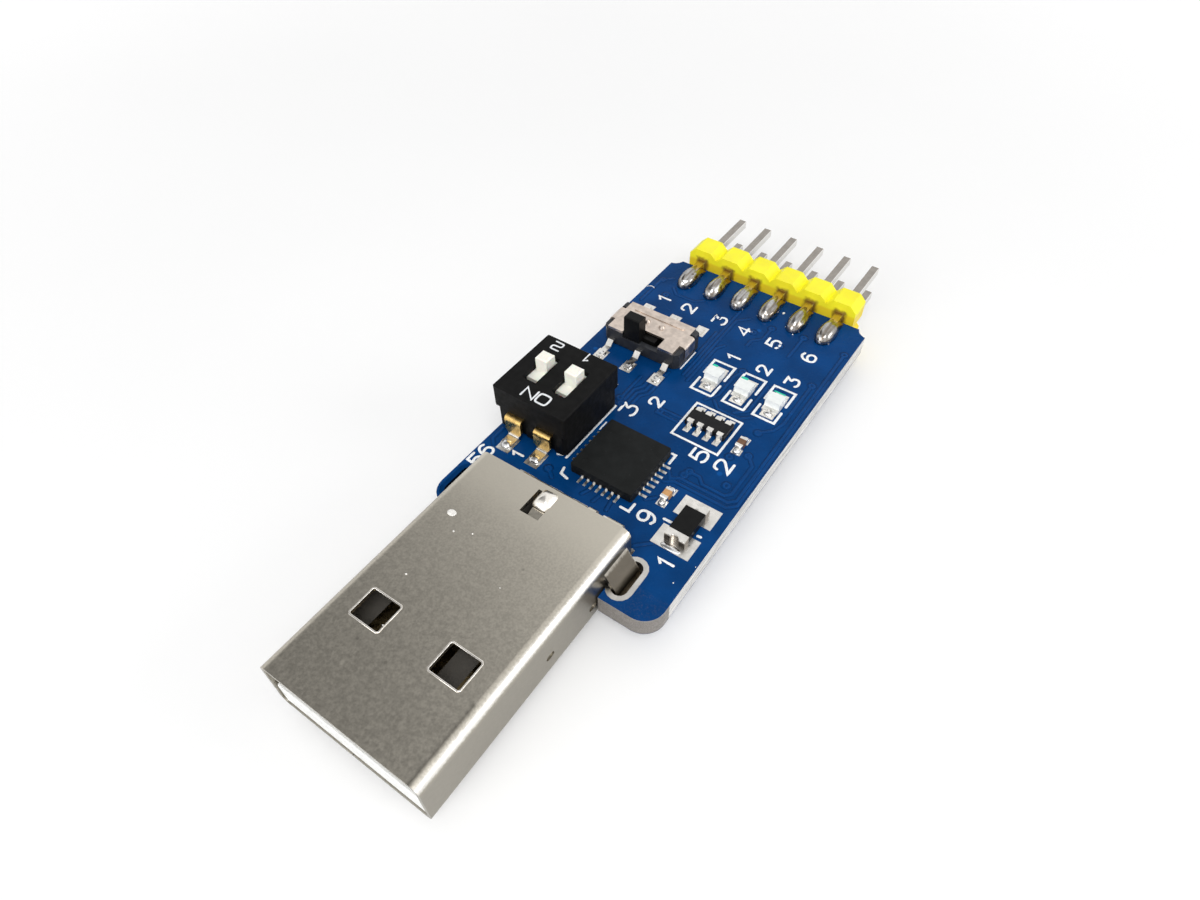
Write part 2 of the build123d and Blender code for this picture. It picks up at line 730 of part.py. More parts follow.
def make_mode_wipers():
    """Two bowed contact springs under the carriage, one for each pole."""
    t = 0.1
    z = carriage_top_z() - carriage_thickness - t / 2
    springs = []
    for s in (-1, 1):
        path = [(-1.3, z - 0.2), (-0.6, z), (0.6, z), (1.3, z - 0.2)]
        spring = strip(path, t, 0.4, facing_x(0), 0.25)
        springs.append(Pos(mode_x - mode_travel / 2, mode_y + s * 0.65, 0) * spring)
    return springs


def make_chip_leads():
    """Lead frame feet of the bridge chip, on all four sides."""
    feet = []
    for x, y, along_x, s in chip_lead_places():
        w, l = (chip_lead_length, chip_lead_width) if along_x else (chip_lead_width, chip_lead_length)
        feet.append(block(x - w / 2, x + w / 2, y - l / 2, y + l / 2, pad_thickness, pad_thickness + chip_lead_height))
    return feet


def make_chip():
    """Flat square chip body with a pin-one dot sunk in its top."""
    body = Pos(chip_x, chip_y, (chip_height + 0.06) / 2) * Box(chip_side, chip_side, chip_height - 0.06)
    body = chamfer(body.edges().filter_by(Axis.Z), 0.08)
    dot = Pos(chip_x - chip_side / 2 + 0.75, chip_y - chip_side / 2 + 0.75)
    body -= plate(dot * Circle(0.28), chip_height - 0.03, chip_height + 0.1)
    for foot in make_chip_leads():
        body -= foot
    return body


def lamp_places():
    """Centres of the three indicator lamps."""
    return [(lamp_first_x + i * lamp_pitch, lamp_y) for i in range(3)]


def make_lamp_ends():
    """Plated end terminals with a half-round notch, two for each lamp."""
    ends = []
    depth = (lamp_length - lamp_lens_length) / 2
    for x, y in lamp_places():
        for s in (-1, 1):
            y0, y1 = sorted((y + s * lamp_length / 2, y + s * (lamp_length / 2 - depth)))
            end = block(x - lamp_width / 2, x + lamp_width / 2, y0, y1, pad_thickness, pad_thickness + lamp_base_height)
            notch = Pos(x, y + s * lamp_length / 2) * RegularPolygon(0.24, 12)
            ends.append(end - plate(notch, 0, 1))
    return ends


def make_lamp_lenses():
    """Moulded lamp bodies with sloping ends."""
    lenses = []
    z0 = pad_thickness
    z1 = z0 + lamp_base_height
    z2 = z1 + lamp_lens_height
    half = lamp_lens_length / 2
    for x, y in lamp_places():
        side = make_face(Polyline((y - half, z0), (y + half, z0), (y + half, z1), (y + half - 0.08, z2),
                                  (y - half + 0.08, z2), (y - half, z1), close=True))
        lenses.append(extrude(facing_y(x) * side, amount=(lamp_width - 0.02) / 2, both=True))
    return lenses


def array_terminal_places():
    """Centres of the resistor array's eight terminals with the side they are on."""
    return [(array_x + (i - 1.5) * array_pitch, s) for i in range(4) for s in (-1, 1)]


def make_array_ends():
    """Wrap-around terminals of the resistor array, each with a rounded outer face."""
    ends = []
    for x, s in array_terminal_places():
        y = array_y + s * (array_width / 2 - 0.15)
        end = Pos(x, y, pad_thickness + array_height / 2 + 0.01) * Box(array_pitch * 0.58, 0.38, array_height + 0.02)
        outer = end.faces().sort_by(Axis.Y)[0 if s < 0 else -1]
        ends.append(chamfer(outer.edges().filter_by(Axis.Z), 0.08))
    return ends


def make_array_body():
    """Ceramic bar of the resistor array, scalloped between its terminals."""
    bar = Pos(array_x, array_y) * Rectangle(array_length, array_width - 0.1)
    for i in (-1, 0, 1):
        for s in (-1, 1):
            bar -= Pos(array_x + i * array_pitch, array_y + s * array_width / 2) * Rectangle(0.24, 0.34)
    body = plate(bar, pad_thickness + 0.01, pad_thickness + array_height)
    for end in make_array_ends():
        body -= end
    return body


def chip_component(x, y, length, width, height, end):
    """Small ceramic component lying along Y: its body and its two end caps."""
    z0 = pad_thickness
    body = block(x - width / 2 + 0.01, x + width / 2 - 0.01, y - length / 2 + end, y + length / 2 - end, z0 + 0.01, z0 + height - 0.01)
    caps = []
    for s in (-1, 1):
        y0, y1 = sorted((y + s * length / 2, y + s * (length / 2 - end)))
        cap = block(x - width / 2, x + width / 2, y0, y1, z0, z0 + height)
        outer = cap.faces().sort_by(Axis.Y)[0 if s < 0 else -1]
        caps.append(chamfer(outer.edges(), 0.05))
    return body, caps


def make_fuse():
    """Resettable fuse: flat bar with plated ends, each with a half-round notch."""
    z0 = pad_thickness
    end = 0.55
    body = block(fuse_x - fuse_width / 2 + 0.01, fuse_x + fuse_width / 2 - 0.01, fuse_y - fuse_length / 2 + end,
                 fuse_y + fuse_length / 2 - end, z0 + 0.01, z0 + fuse_height - 0.03)
    caps = []
    for s in (-1, 1):
        y0, y1 = sorted((fuse_y + s * fuse_length / 2, fuse_y + s * (fuse_length / 2 - end)))
        cap = block(fuse_x - fuse_width / 2, fuse_x + fuse_width / 2, y0, y1, z0, z0 + fuse_height)
        notch = Pos(fuse_x, fuse_y + s * (fuse_length / 2 + 0.14)) * RegularPolygon(0.36, 16)
        caps.append(cap - plate(notch, 0, 1))
    return body, caps


def soic(leads):
    """Small outline package seen from its own board face: body, leads and pads, lying along Y."""
    half = leads // 2
    length = half * soic_pitch - 0.26
    mid = soic_standoff + (soic_height - soic_standoff) / 2
    lower = Pos(0, 0, soic_standoff) * Rectangle(soic_body_width - 0.2, length - 0.2)
    belt = Pos(0, 0, mid) * Rectangle(soic_body_width, length)
    upper = Pos(0, 0, soic_height) * Rectangle(soic_body_width - 0.2, length - 0.2)
    body = loft([lower, belt]) + loft([belt, upper])
    body -= Pos(-soic_body_width / 2 + 0.8, -length / 2 + 0.7, soic_height) * Cylinder(0.3, 0.1)
    t = soic_lead_thickness
    foot_z = pad_thickness + t / 2
    a = soic_body_width / 2
    path = [(a - 0.25, mid), (a + 0.3, mid), (a + 0.42, foot_z), (soic_span / 2, foot_z)]
    right = strip(path, t, soic_lead_width, facing_x(0))
    left = mirror(right, about=Plane.YZ)
    pins = []
    pads = []
    for i in range(half):
        y = (i - (half - 1) / 2) * soic_pitch
        pins += [Pos(0, y, 0) * right, Pos(0, y, 0) * left]
        for s in (-1, 1):
            pads.append(pad(s * (soic_span / 2 - 0.3), y, 1.3, soic_lead_width + 0.15))
    for pin in pins:
        body -= pin
    return body, pins, pads


def under_board(shape, x, y):
    """Turn a piece made for the top face over and set it on the underside."""
    return Location((x, y, board_bottom_z), (0, 180, 0)) * shape


def pump_cap_places():
    """Centres of the four charge pump capacitors and one supply capacitor on the underside."""
    return [(pump_cap_x, driver_y + (i - 1.5) * 2.3) for i in range(4)] + [(-pump_cap_x + 0.6, bus_y)]


os.makedirs("parts", exist_ok=True)

write("circuit_board", make_board())
write("slot_rings", *make_slot_rings())
write("usb_shell", make_shell())
write("usb_insulator", make_insulator())
write("usb_contacts", *[contact_strip(x) for x in contact_xs])
write("leg_solder", *make_leg_solder())

write("header_body", make_header_body())
write("header_pins_upper", *make_pins(upper_row_z))
write("header_pins_lower", *make_pins(lower_row_z))
write("pin_joints_upper", *make_joints(1))
write("pin_joints_lower", *make_joints(-1))
write("top_pads", *make_top_pads())

write("dip_base", make_dip_base())
write("dip_cover", make_dip_cover())
write("dip_leads", *make_dip_leads())
write("dip_slider_1", make_dip_slider(1))
write("dip_slider_2", make_dip_slider(-1))
write("dip_wiper_1", make_dip_wiper(1))
write("dip_wiper_2", make_dip_wiper(-1))

write("mode_base", make_mode_base())
write("mode_cover", make_mode_cover())
write("mode_terminals", *make_mode_leads())
write("mode_lever", make_mode_lever())
write("mode_wipers", *make_mode_wipers())

write("bridge_chip", make_chip())
write("bridge_chip_leads", *make_chip_leads())
write("lamp_lenses", *make_lamp_lenses())
write("lamp_ends", *make_lamp_ends())
write("array_body", make_array_body())
write("array_ends", *make_array_ends())

brown_body, brown_caps = chip_component(cap_brown_x, cap_brown_y, cap_length, cap_width, cap_height, 0.25)
tan_body, tan_caps = chip_component(cap_tan_x, cap_tan_y, cap_length, cap_width, cap_height, 0.25)
write("cap_brown", brown_body)
write("cap_tan", tan_body)
write("cap_ends", *brown_caps, *tan_caps)
fuse_body, fuse_caps = make_fuse()
write("fuse_body", fuse_body)
write("fuse_ends", *fuse_caps)

driver_body, driver_pins, driver_pads = soic(driver_lead_count)
bus_body, bus_pins, bus_pads = soic(bus_lead_count)
write("driver_chip", under_board(driver_body, driver_x, driver_y))
write("driver_chip_leads", *[under_board(p, driver_x, driver_y) for p in driver_pins])
write("bus_chip", under_board(bus_body, bus_x, bus_y))
write("bus_chip_leads", *[under_board(p, bus_x, bus_y) for p in bus_pins])

under_pads = [under_board(p, driver_x, driver_y) for p in driver_pads]
under_pads += [under_board(p, bus_x, bus_y) for p in bus_pads]
joint_pad = pad(0, 0, header_pad_width, header_pad_length)
under_pads += [under_board(joint_pad, x, header_pad_y) for x in pin_xs]
pump_bodies = []
pump_ends = []
for x, y in pump_cap_places():
    body, caps = chip_component(0, 0, pump_cap_length, pump_cap_width, pump_cap_height, 0.35)
    turned = Location((0, 0, 0), (0, 0, 90))
    pump_bodies.append(under_board(turned * body, x, y))
    pump_ends += [under_board(turned * cap, x, y) for cap in caps]
    for s in (-1, 1):
        under_pads.append(under_board(pad(s * (pump_cap_length / 2 + 0.05), 0, 0.8, pump_cap_width + 0.1), x, y))
write("pump_caps", *pump_bodies)
write("pump_cap_ends", *pump_ends)
write("under_pads", *under_pads)
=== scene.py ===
import math

import bmesh
import bpy
import numpy as np
from bpy.props import FloatProperty, FloatVectorProperty, PointerProperty
from mathutils import Euler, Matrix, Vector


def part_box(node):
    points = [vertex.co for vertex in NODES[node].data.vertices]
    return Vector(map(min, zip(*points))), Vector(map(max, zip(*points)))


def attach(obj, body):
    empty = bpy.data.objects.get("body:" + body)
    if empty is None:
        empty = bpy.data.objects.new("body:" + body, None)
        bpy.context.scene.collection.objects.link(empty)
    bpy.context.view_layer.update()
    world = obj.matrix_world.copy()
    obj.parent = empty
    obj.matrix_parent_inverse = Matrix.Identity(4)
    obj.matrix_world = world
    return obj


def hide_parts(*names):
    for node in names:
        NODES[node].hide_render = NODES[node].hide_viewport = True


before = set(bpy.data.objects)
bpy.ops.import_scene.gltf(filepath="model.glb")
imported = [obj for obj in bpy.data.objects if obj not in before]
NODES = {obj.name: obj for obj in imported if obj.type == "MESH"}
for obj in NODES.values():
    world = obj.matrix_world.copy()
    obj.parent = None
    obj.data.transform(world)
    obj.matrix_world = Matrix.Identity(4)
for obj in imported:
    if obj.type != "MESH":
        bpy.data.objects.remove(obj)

bl_info = {
    "name": "Serial adapter board",
    "version": (1, 0, 0),
    "blender": (4, 5, 0),
    "location": "View3D > Sidebar > Adapter board",
    "description": "Finishes, printing, tracks and solder of a plug-in serial adapter board",
    "category": "Object",
}

# Places are in millimetres: x across from the board's centre line, y behind the plug's mouth,
# z above the board's component face. All of them are read against the frame's own nodes.
MM = 0.001
CARRIER = "board_assembly"
BOARD_LOW, BOARD_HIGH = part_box("circuit_board")
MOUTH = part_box("usb_shell")[0].y
ORIGIN = np.array([(BOARD_LOW.x + BOARD_HIGH.x) / 2, MOUTH, BOARD_HIGH.z])
BOARD_THICKNESS = (BOARD_HIGH.z - BOARD_LOW.z) / MM
PIN_PITCH = 2.54
PINS_PER_ROW = 6
FIRST_PIN_X = -6.35
SLOT_Y = 16.95
LEFT_SLOT_X = -7.9
LEG_X = 5.9
LEG_SPACING = 13.8
WINDOW_Y = 6.06
WINDOW_XS = (-4.05, 2.05)
WINDOW_WIDTH = 2.27
WINDOW_LENGTH = 2.0
LATCH_X = -0.85
LATCH_Y = 17.84
JOINT_Y = 45.05
FUSE_X = 6.87
FUSE_Y = 22.5
PRINT_THICKNESS = 0.02
INK_THICKNESS = 0.015
PAD_TOP = 0.03


def height_of(z):
    """Height in the frame, in metres, of a height above the board's component face in millimetres."""
    return float(ORIGIN[2] + z * MM)


def depth_of(y):
    """Place along the frame's Y, in metres, of a distance behind the plug's mouth in millimetres."""
    return float(ORIGIN[1] + y * MM)


def top_of(node):
    """Height of a node's top above the board's component face, in millimetres."""
    return (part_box(node)[1].z - ORIGIN[2]) / MM


# Settings that a user would change.

def colour(name, text, value):
    """Colour property in linear light."""
    return FloatVectorProperty(name=name, description=text, default=value, subtype="COLOR", size=3,
                               min=0, max=1)


def length(name, text, value):
    """Length property; the value is given in millimetres and kept in metres."""
    return FloatProperty(name=name, description=text, default=value * MM, min=0, unit="LENGTH", precision=6)


class BoardLook(bpy.types.PropertyGroup):
    mask: colour("Mask", "Blue mask over copper", (0.0012, 0.046, 0.178))
    mask_dark: colour("Bare mask", "Blue mask over the bare board, beside the tracks", (0.0010, 0.033, 0.130))
    edge: colour("Edge", "Cut edge of the glass fibre board", (0.74, 0.73, 0.71))
    silk: colour("Silk", "White print on the board", (0.93, 0.94, 0.94))
    track_width: length("Track width", "Width of a signal track", 0.22)
    track_height: length("Track height", "How far a track lifts the mask", 0.02)
    silk_width: length("Silk stroke", "Stroke of the white print", 0.21)


class MetalLook(bpy.types.PropertyGroup):
    nickel: colour("Nickel", "Plug shell", (0.52, 0.485, 0.415))
    cover: colour("Switch cover", "Pale nickel sheet of the slide switch", (0.66, 0.57, 0.50))
    tin: colour("Tin", "Tinned pads and terminals", (0.78, 0.76, 0.72))
    solder: colour("Solder", "Solder joints", (0.70, 0.70, 0.70))
    gold: colour("Gold", "Gold plate of leads and contacts", (0.83, 0.56, 0.20))
    pin: colour("Pin", "Header pins", (0.33, 0.305, 0.275))
    # Painted highlight on the right flank of the header pins.
    pin_flank_highlight: colour("Pin flank", "Bright right flank of the header pins", (0.92, 0.90, 0.87))
    leg_stain: colour("Leg stain", "Flux stain on the plug's legs", (0.10, 0.085, 0.065))
    # Painted highlight: a lighter nickel for the rolled window edges and the latch bulge.
    bright: colour("Bright edge", "Rolled window edges and the latch bulge", (0.88, 0.84, 0.78))
    joint_length: length("Joint length", "Length of a header solder joint", 3.3)
    joint_width: length("Joint width", "Width of a header solder joint", 1.56)
    joint_height: length("Joint height", "Height of a header solder joint", 1.06)


class PlasticLook(bpy.types.PropertyGroup):
    header: colour("Header", "Yellow header moulding", (1.0, 0.90, 0.02))
    # Painted shade at the header's foot round each pin, where the pins go into the body.
    header_pin_shade: colour("Header foot", "Painted shade at the foot of the header beside the pins",
                         (0.13, 0.055, 0.008))
    black: colour("Switch black", "Black mouldings of the switches", (0.006, 0.006, 0.006))
    knob: colour("Knob", "White slider knobs", (0.97, 0.95, 0.85))
    ink: colour("Ink", "White print on the DIP switch", (0.80, 0.82, 0.84))
    epoxy: colour("Epoxy", "Chip bodies", (0.010, 0.011, 0.011))
    lens: colour("Lens", "Milky lamp lenses", (0.86, 0.89, 0.88))
    lamp_mark: colour("Lamp mark", "Green polarity mark on a lamp", (0.02, 0.62, 0.40))
    insulator: colour("Insulator", "White insulator in the plug", (0.90, 0.90, 0.88))
    insulator_dark: colour("Insulator inside", "Shaded inside of the insulator", (0.10, 0.092, 0.080))
    slide_base: colour("Slide base", "Base of the slide switch", (0.030, 0.032, 0.037))
    brown: colour("Brown ceramic", "Brown capacitors", (0.16, 0.075, 0.035))
    tan: colour("Tan ceramic", "Tan capacitor", (0.62, 0.33, 0.13))
    ink_width: length("Ink stroke", "Stroke of the print on the DIP switch", 0.16)


class StageLook(bpy.types.PropertyGroup):
    floor: colour("Floor", "Plain pale floor", (0.80, 0.80, 0.80))
    sky: FloatProperty(name="Sky", description="Even light from all round", default=0.52, min=0)
    key: FloatProperty(name="Main lamp", description="Power of the soft lamp to the right of the plug",
                       default=1.1, min=0, unit="POWER")
    fill: FloatProperty(name="Front lamp", description="Power of the soft lamp before the plug",
                        default=0.45, min=0, unit="POWER")
    side: FloatProperty(name="Right lamp", description="Power of the soft lamp right of the board",
                        default=0.25, min=0, unit="POWER")


# Effects that the finishes share.

def wire(tree, source, target):
    """Joins an output socket to an input socket."""
    tree.links.new(source, target)


def feed(tree, value, target):
    """Gives an input socket what it needs: another socket, a number or a colour."""
    if isinstance(value, bpy.types.NodeSocket):
        wire(tree, value, target)
    elif isinstance(value, (int, float)):
        target.default_value = value
    else:
        target.default_value = (*value[:3], 1.0)


def new_group(name, inputs, outputs):
    """Shader node group with float inputs, a vector first, and float outputs."""
    group = bpy.data.node_groups.new(name, "ShaderNodeTree")
    group.interface.new_socket("Vector", in_out="INPUT", socket_type="NodeSocketVector")
    for label, value in inputs:
        socket = group.interface.new_socket(label, in_out="INPUT", socket_type="NodeSocketFloat")
        socket.default_value = value
    for label in outputs:
        group.interface.new_socket(label, in_out="OUTPUT", socket_type="NodeSocketFloat")
    return group, group.nodes.new("NodeGroupInput"), group.nodes.new("NodeGroupOutput")


def maths(tree, operation, a, b=0.0, clamp=False):
    """Math node; a and b are sockets or numbers."""
    node = tree.nodes.new("ShaderNodeMath")
    node.operation = operation
    node.use_clamp = clamp
    for socket, value in zip(node.inputs, (a, b)):
        feed(tree, value, socket)
    return node.outputs[0]


def ramp(tree, value, low, high, to_low=0.0, to_high=1.0):
    """Map Range node with soft ends."""
    node = tree.nodes.new("ShaderNodeMapRange")
    node.interpolation_type = "SMOOTHSTEP"
    for label, given in (("Value", value), ("From Min", low), ("From Max", high), ("To Min", to_low),
                         ("To Max", to_high)):
        feed(tree, given, node.inputs[label])
    return node.outputs[0]


def noise(tree, vector, scale, detail=2.0):
    """Noise node's value; the scale is in waves per metre."""
    node = tree.nodes.new("ShaderNodeTexNoise")
    node.inputs["Detail"].default_value = detail
    wire(tree, vector, node.inputs["Vector"])
    feed(tree, scale, node.inputs["Scale"])
    return node.outputs[0]


def make_uneven_tone():
    """Tone: broad noise, spread out to run from 0 to 1; Size is the length of one blotch in metres."""
    group, given, out = new_group("uneven_tone", [("Size", 0.001)], ["Tone"])
    scale = maths(group, "DIVIDE", 1.0, given.outputs["Size"])
    value = noise(group, given.outputs["Vector"], scale, 4.0)
    wire(group, ramp(group, value, 0.32, 0.68), out.inputs["Tone"])
    return group


def make_fine_grain():
    """Height: fine noise times Depth, both in metres."""
    group, given, out = new_group("fine_grain", [("Size", 0.0001), ("Depth", 0.00001)], ["Height"])
    scale = maths(group, "DIVIDE", 1.0, given.outputs["Size"])
    value = noise(group, given.outputs["Vector"], scale, 3.0)
    wire(group, maths(group, "MULTIPLY", value, given.outputs["Depth"]), out.inputs["Height"])
    return group


def make_sparse_specks():
    """Mask: round spots of the cells whose random value is under Share; Size is the length of a cell."""
    group, given, out = new_group("sparse_specks", [("Size", 0.001), ("Share", 0.1), ("Spot", 0.2)], ["Mask"])
    cells = group.nodes.new("ShaderNodeTexVoronoi")
    wire(group, given.outputs["Vector"], cells.inputs["Vector"])
    wire(group, maths(group, "DIVIDE", 1.0, given.outputs["Size"]), cells.inputs["Scale"])
    split = group.nodes.new("ShaderNodeSeparateColor")
    wire(group, cells.outputs["Color"], split.inputs["Color"])
    chosen = maths(group, "LESS_THAN", split.outputs["Red"], given.outputs["Share"])
    near = ramp(group, cells.outputs["Distance"], maths(group, "MULTIPLY", given.outputs["Spot"], 0.4),
                given.outputs["Spot"], 1.0, 0.0)
    wire(group, maths(group, "MULTIPLY", chosen, near), out.inputs["Mask"])
    return group


def make_drawn_lines():
    """Tone: noise stretched thirty times along Y, as rolled sheet or pulled wire shows."""
    group, given, out = new_group("drawn_lines", [("Size", 0.0001)], ["Tone"])
    turn = group.nodes.new("ShaderNodeMapping")
    turn.inputs["Scale"].default_value = (1.0, 0.03, 1.0)
    wire(group, given.outputs["Vector"], turn.inputs["Vector"])
    scale = maths(group, "DIVIDE", 1.0, given.outputs["Size"])
    value = noise(group, turn.outputs["Vector"], scale, 2.0)
    wire(group, ramp(group, value, 0.3, 0.7), out.inputs["Tone"])
    return group


def make_band():
    """Mask: 1 between Low and High along Z of the vector, fading over Soft at both ends."""
    group, given, out = new_group("band", [("Low", 0.0), ("High", 1.0), ("Soft", 0.0001)], ["Mask"])
    split = group.nodes.new("ShaderNodeSeparateXYZ")
    wire(group, given.outputs["Vector"], split.inputs["Vector"])
    z = split.outputs["Z"]
    low = given.outputs["Low"]
    high = given.outputs["High"]
    soft = given.outputs["Soft"]
    rise = ramp(group, z, maths(group, "SUBTRACT", low, soft), maths(group, "ADD", low, soft))
    fall = ramp(group, z, maths(group, "SUBTRACT", high, soft), maths(group, "ADD", high, soft), 1.0, 0.0)
    wire(group, maths(group, "MULTIPLY", rise, fall), out.inputs["Mask"])
    return group


def make_soft_box():
    """Mask: 1 inside a box given by its centre and half sides, its edges fading and ragged over Soft. The
    box comes back along X every Pitch."""
    inputs = [("X", 0.0), ("Y", 0.0), ("Z", 0.0), ("Wide", 0.001), ("Long", 0.001), ("Tall", 0.001),
              ("Soft", 0.0001), ("Pitch", 1.0)]
    group, given, out = new_group("soft_box", inputs, ["Mask"])
    split = group.nodes.new("ShaderNodeSeparateXYZ")
    wire(group, given.outputs["Vector"], split.inputs["Vector"])
    soft = given.outputs["Soft"]
    wander = noise(group, given.outputs["Vector"], maths(group, "DIVIDE", 0.6, soft), 3.0)
    ragged = maths(group, "MULTIPLY", maths(group, "SUBTRACT", wander, 0.5),
                   maths(group, "MULTIPLY", soft, 2.0))
    mask = 1.0
    for axis, half in (("X", "Wide"), ("Y", "Long"), ("Z", "Tall")):
        away = maths(group, "SUBTRACT", split.outputs[axis], given.outputs[axis])
        if axis == "X":
            away = maths(group, "PINGPONG", away, maths(group, "MULTIPLY", given.outputs["Pitch"], 0.5))
        away = maths(group, "ADD", maths(group, "ABSOLUTE", away), ragged)
        low = maths(group, "SUBTRACT", given.outputs[half], soft)
        inside = ramp(group, away, low, maths(group, "ADD", given.outputs[half], soft), 1.0, 0.0)
        mask = maths(group, "MULTIPLY", inside, mask)
    wire(group, mask, out.inputs["Mask"])
    return group


EFFECTS = {}


def effect(tree, name, vector, output, **values):
    """Places a shared effect in a material and returns its output."""
    makers = {"uneven_tone": make_uneven_tone, "fine_grain": make_fine_grain, "drawn_lines": make_drawn_lines,
              "sparse_specks": make_sparse_specks, "band": make_band, "soft_box": make_soft_box}
    if name not in EFFECTS:
        EFFECTS[name] = makers[name]()
    node = tree.nodes.new("ShaderNodeGroup")
    node.node_tree = EFFECTS[name]
    wire(tree, vector, node.inputs["Vector"])
    for label, value in values.items():
        node.inputs[label].default_value = value
    return node.outputs[output]


def blend_colour(tree, factor, a, b):
    """Mix of two colours, either of them a socket or a value."""
    node = tree.nodes.new("ShaderNodeMix")
    node.data_type = "RGBA"
    wire(tree, factor, node.inputs["Factor"])
    feed(tree, a, node.inputs[6])
    feed(tree, b, node.inputs[7])
    return node.outputs[2]


def shade(base, by):
    """Colour made lighter or darker by a factor."""
    return tuple(min(1.0, c * by) for c in base)


def looks(scene):
    """Settings of the metals and of the plastics."""
    return scene.adapter_metal, scene.adapter_plastic


class Finish:
    """A material built up in layers: colour, roughness and relief over Object coordinates."""

    def __init__(self, name, base, spread=0.12, blotch=0.8):
        """Starts with a base colour that wanders by spread over blotches of so many millimetres."""
        self.material = bpy.data.materials.new(name)
        self.material.use_nodes = True
        self.tree = self.material.node_tree
        self.shader = self.tree.nodes["Principled BSDF"]
        self.place = self.tree.nodes.new("ShaderNodeTexCoord").outputs["Object"]
        tone = effect(self.tree, "uneven_tone", self.place, "Tone", Size=blotch * MM)
        self.colour = blend_colour(self.tree, tone, shade(base, 1 - spread), shade(base, 1 + spread))
        self.height = None
        self.rough = None

    def value(self, **sockets):
        """Sets constants on the shader's own sockets."""
        for label, value in sockets.items():
            self.shader.inputs[label.replace("_", " ")].default_value = value
        return self

    def paint(self, mask, over):
        """Lays a colour over the surface where the mask is 1."""
        self.colour = blend_colour(self.tree, mask, self.colour, over)
        return self

    def specks(self, over, size, amount, spot=0.25):
        """Sparse round specks of a colour."""
        mask = effect(self.tree, "sparse_specks", self.place, "Mask", Size=size * MM, Share=amount, Spot=spot)
        return self.paint(mask, over)

    def lines(self, over, size, strength):
        """Fine drawn lines along Y."""
        tone = effect(self.tree, "drawn_lines", self.place, "Tone", Size=size * MM)
        return self.paint(maths(self.tree, "MULTIPLY", tone, strength), over)

    def band(self, over, low, high, soft, axis="Z", strength=1.0):
        """Colour over a span of heights or depths, given in metres, its edge broken up a little."""
        turn = self.tree.nodes.new("ShaderNodeMapping")
        if axis == "Y":
            turn.inputs["Rotation"].default_value = (math.pi / 2, 0, 0)
        wire(self.tree, self.place, turn.inputs["Vector"])
        mask = effect(self.tree, "band", turn.outputs["Vector"], "Mask", Low=low, High=high, Soft=soft * MM)
        return self.paint(maths(self.tree, "MULTIPLY", mask, strength), over)

    def patch(self, over, centre, half, soft=0.1, strength=1.0, pitch=1000.0):
        """Colour inside a soft box: centre and half sides in millimetres, coming back along X every pitch."""
        x, y, z = (float(v) for v in np.asarray(centre) * MM + ORIGIN)
        wide, long, tall = (v * MM for v in half)
        mask = effect(self.tree, "soft_box", self.place, "Mask", X=x, Y=y, Z=z,
                      Wide=wide, Long=long, Tall=tall, Soft=soft * MM, Pitch=pitch * MM)
        return self.paint(maths(self.tree, "MULTIPLY", mask, strength), over)

    def roughness(self, low, high, blotch=0.5):
        """Roughness wanders between low and high."""
        tone = effect(self.tree, "uneven_tone", self.place, "Tone", Size=blotch * MM)
        self.rough = ramp(self.tree, tone, 0.0, 1.0, low, high)
        return self

    def grain(self, size, depth):
        """Adds relief: waves of a size and depth in millimetres."""
        height = effect(self.tree, "fine_grain", self.place, "Height", Size=size * MM, Depth=depth * MM)
        self.height = height if self.height is None else maths(self.tree, "ADD", self.height, height)
        return self

    def done(self):
        """Joins the layers to the shader and returns the material."""
        wire(self.tree, self.colour, self.shader.inputs["Base Color"])
        if self.rough is not None:
            wire(self.tree, self.rough, self.shader.inputs["Roughness"])
        if self.height is not None:
            bump = self.tree.nodes.new("ShaderNodeBump")
            bump.inputs["Distance"].default_value = 1.0
            wire(self.tree, self.height, bump.inputs["Height"])
            wire(self.tree, bump.outputs["Normal"], self.shader.inputs["Normal"])
        return self.material

    def on(self, *names):
        """Finishes the material and gives it to CAD nodes."""
        material = self.done()
        for name in names:
            materials = NODES[name].data.materials
            materials.clear()
            materials.append(material)


# Surfaces computed as grids of points.

def as_mesh(name, grids, material, smooth=True):
    """One mesh of several grids of points, in millimetres. A grid has rows by columns of points; its
    columns close on themselves, and its first and last rows are either joined or capped."""
    points = []
    corners = []
    counts = []
    start = 0
    for grid, ring in grids:
        rows, columns = grid.shape[:2]
        points.append(grid.reshape(-1, 3))
        index = start + np.arange(rows * columns).reshape(rows, columns)
        after = np.roll(index, -1, 0) if ring else index[1:]
        here = index if ring else index[:-1]
        quads = np.stack([here, np.roll(here, -1, 1), np.roll(after, -1, 1), after], -1).reshape(-1, 4)
        corners.append(quads.ravel())
        counts.append(np.full(len(quads), 4))
        if not ring:
            corners.append(np.concatenate([index[0][::-1], index[-1]]))
            counts.append(np.array([columns, columns]))
        start += rows * columns
    return mesh_object(name, np.concatenate(points), np.concatenate(corners), np.concatenate(counts),
                       material, smooth)


def mesh_object(name, points, corners, counts, material, smooth):
    """Mesh object from points in millimetres, face corners and corner counts, its faces turned outwards."""
    mesh = bpy.data.meshes.new(name)
    mesh.vertices.add(len(points))
    mesh.vertices.foreach_set("co", (points * MM + ORIGIN).astype(np.float32).ravel())
    mesh.loops.add(len(corners))
    mesh.loops.foreach_set("vertex_index", corners.astype(np.int32))
    mesh.polygons.add(len(counts))
    mesh.polygons.foreach_set("loop_start", (np.cumsum(counts) - counts).astype(np.int32))
    mesh.polygons.foreach_set("loop_total", counts.astype(np.int32))
    mesh.update(calc_edges=True)
    working = bmesh.new()
    working.from_mesh(mesh)
    bmesh.ops.recalc_face_normals(working, faces=working.faces)
    working.to_mesh(mesh)
    working.free()
    mesh.polygons.foreach_set("use_smooth", np.full(len(counts), smooth))
    mesh.materials.append(material)
    piece = bpy.data.objects.new(name, mesh)
    bpy.context.scene.collection.objects.link(piece)
    return piece


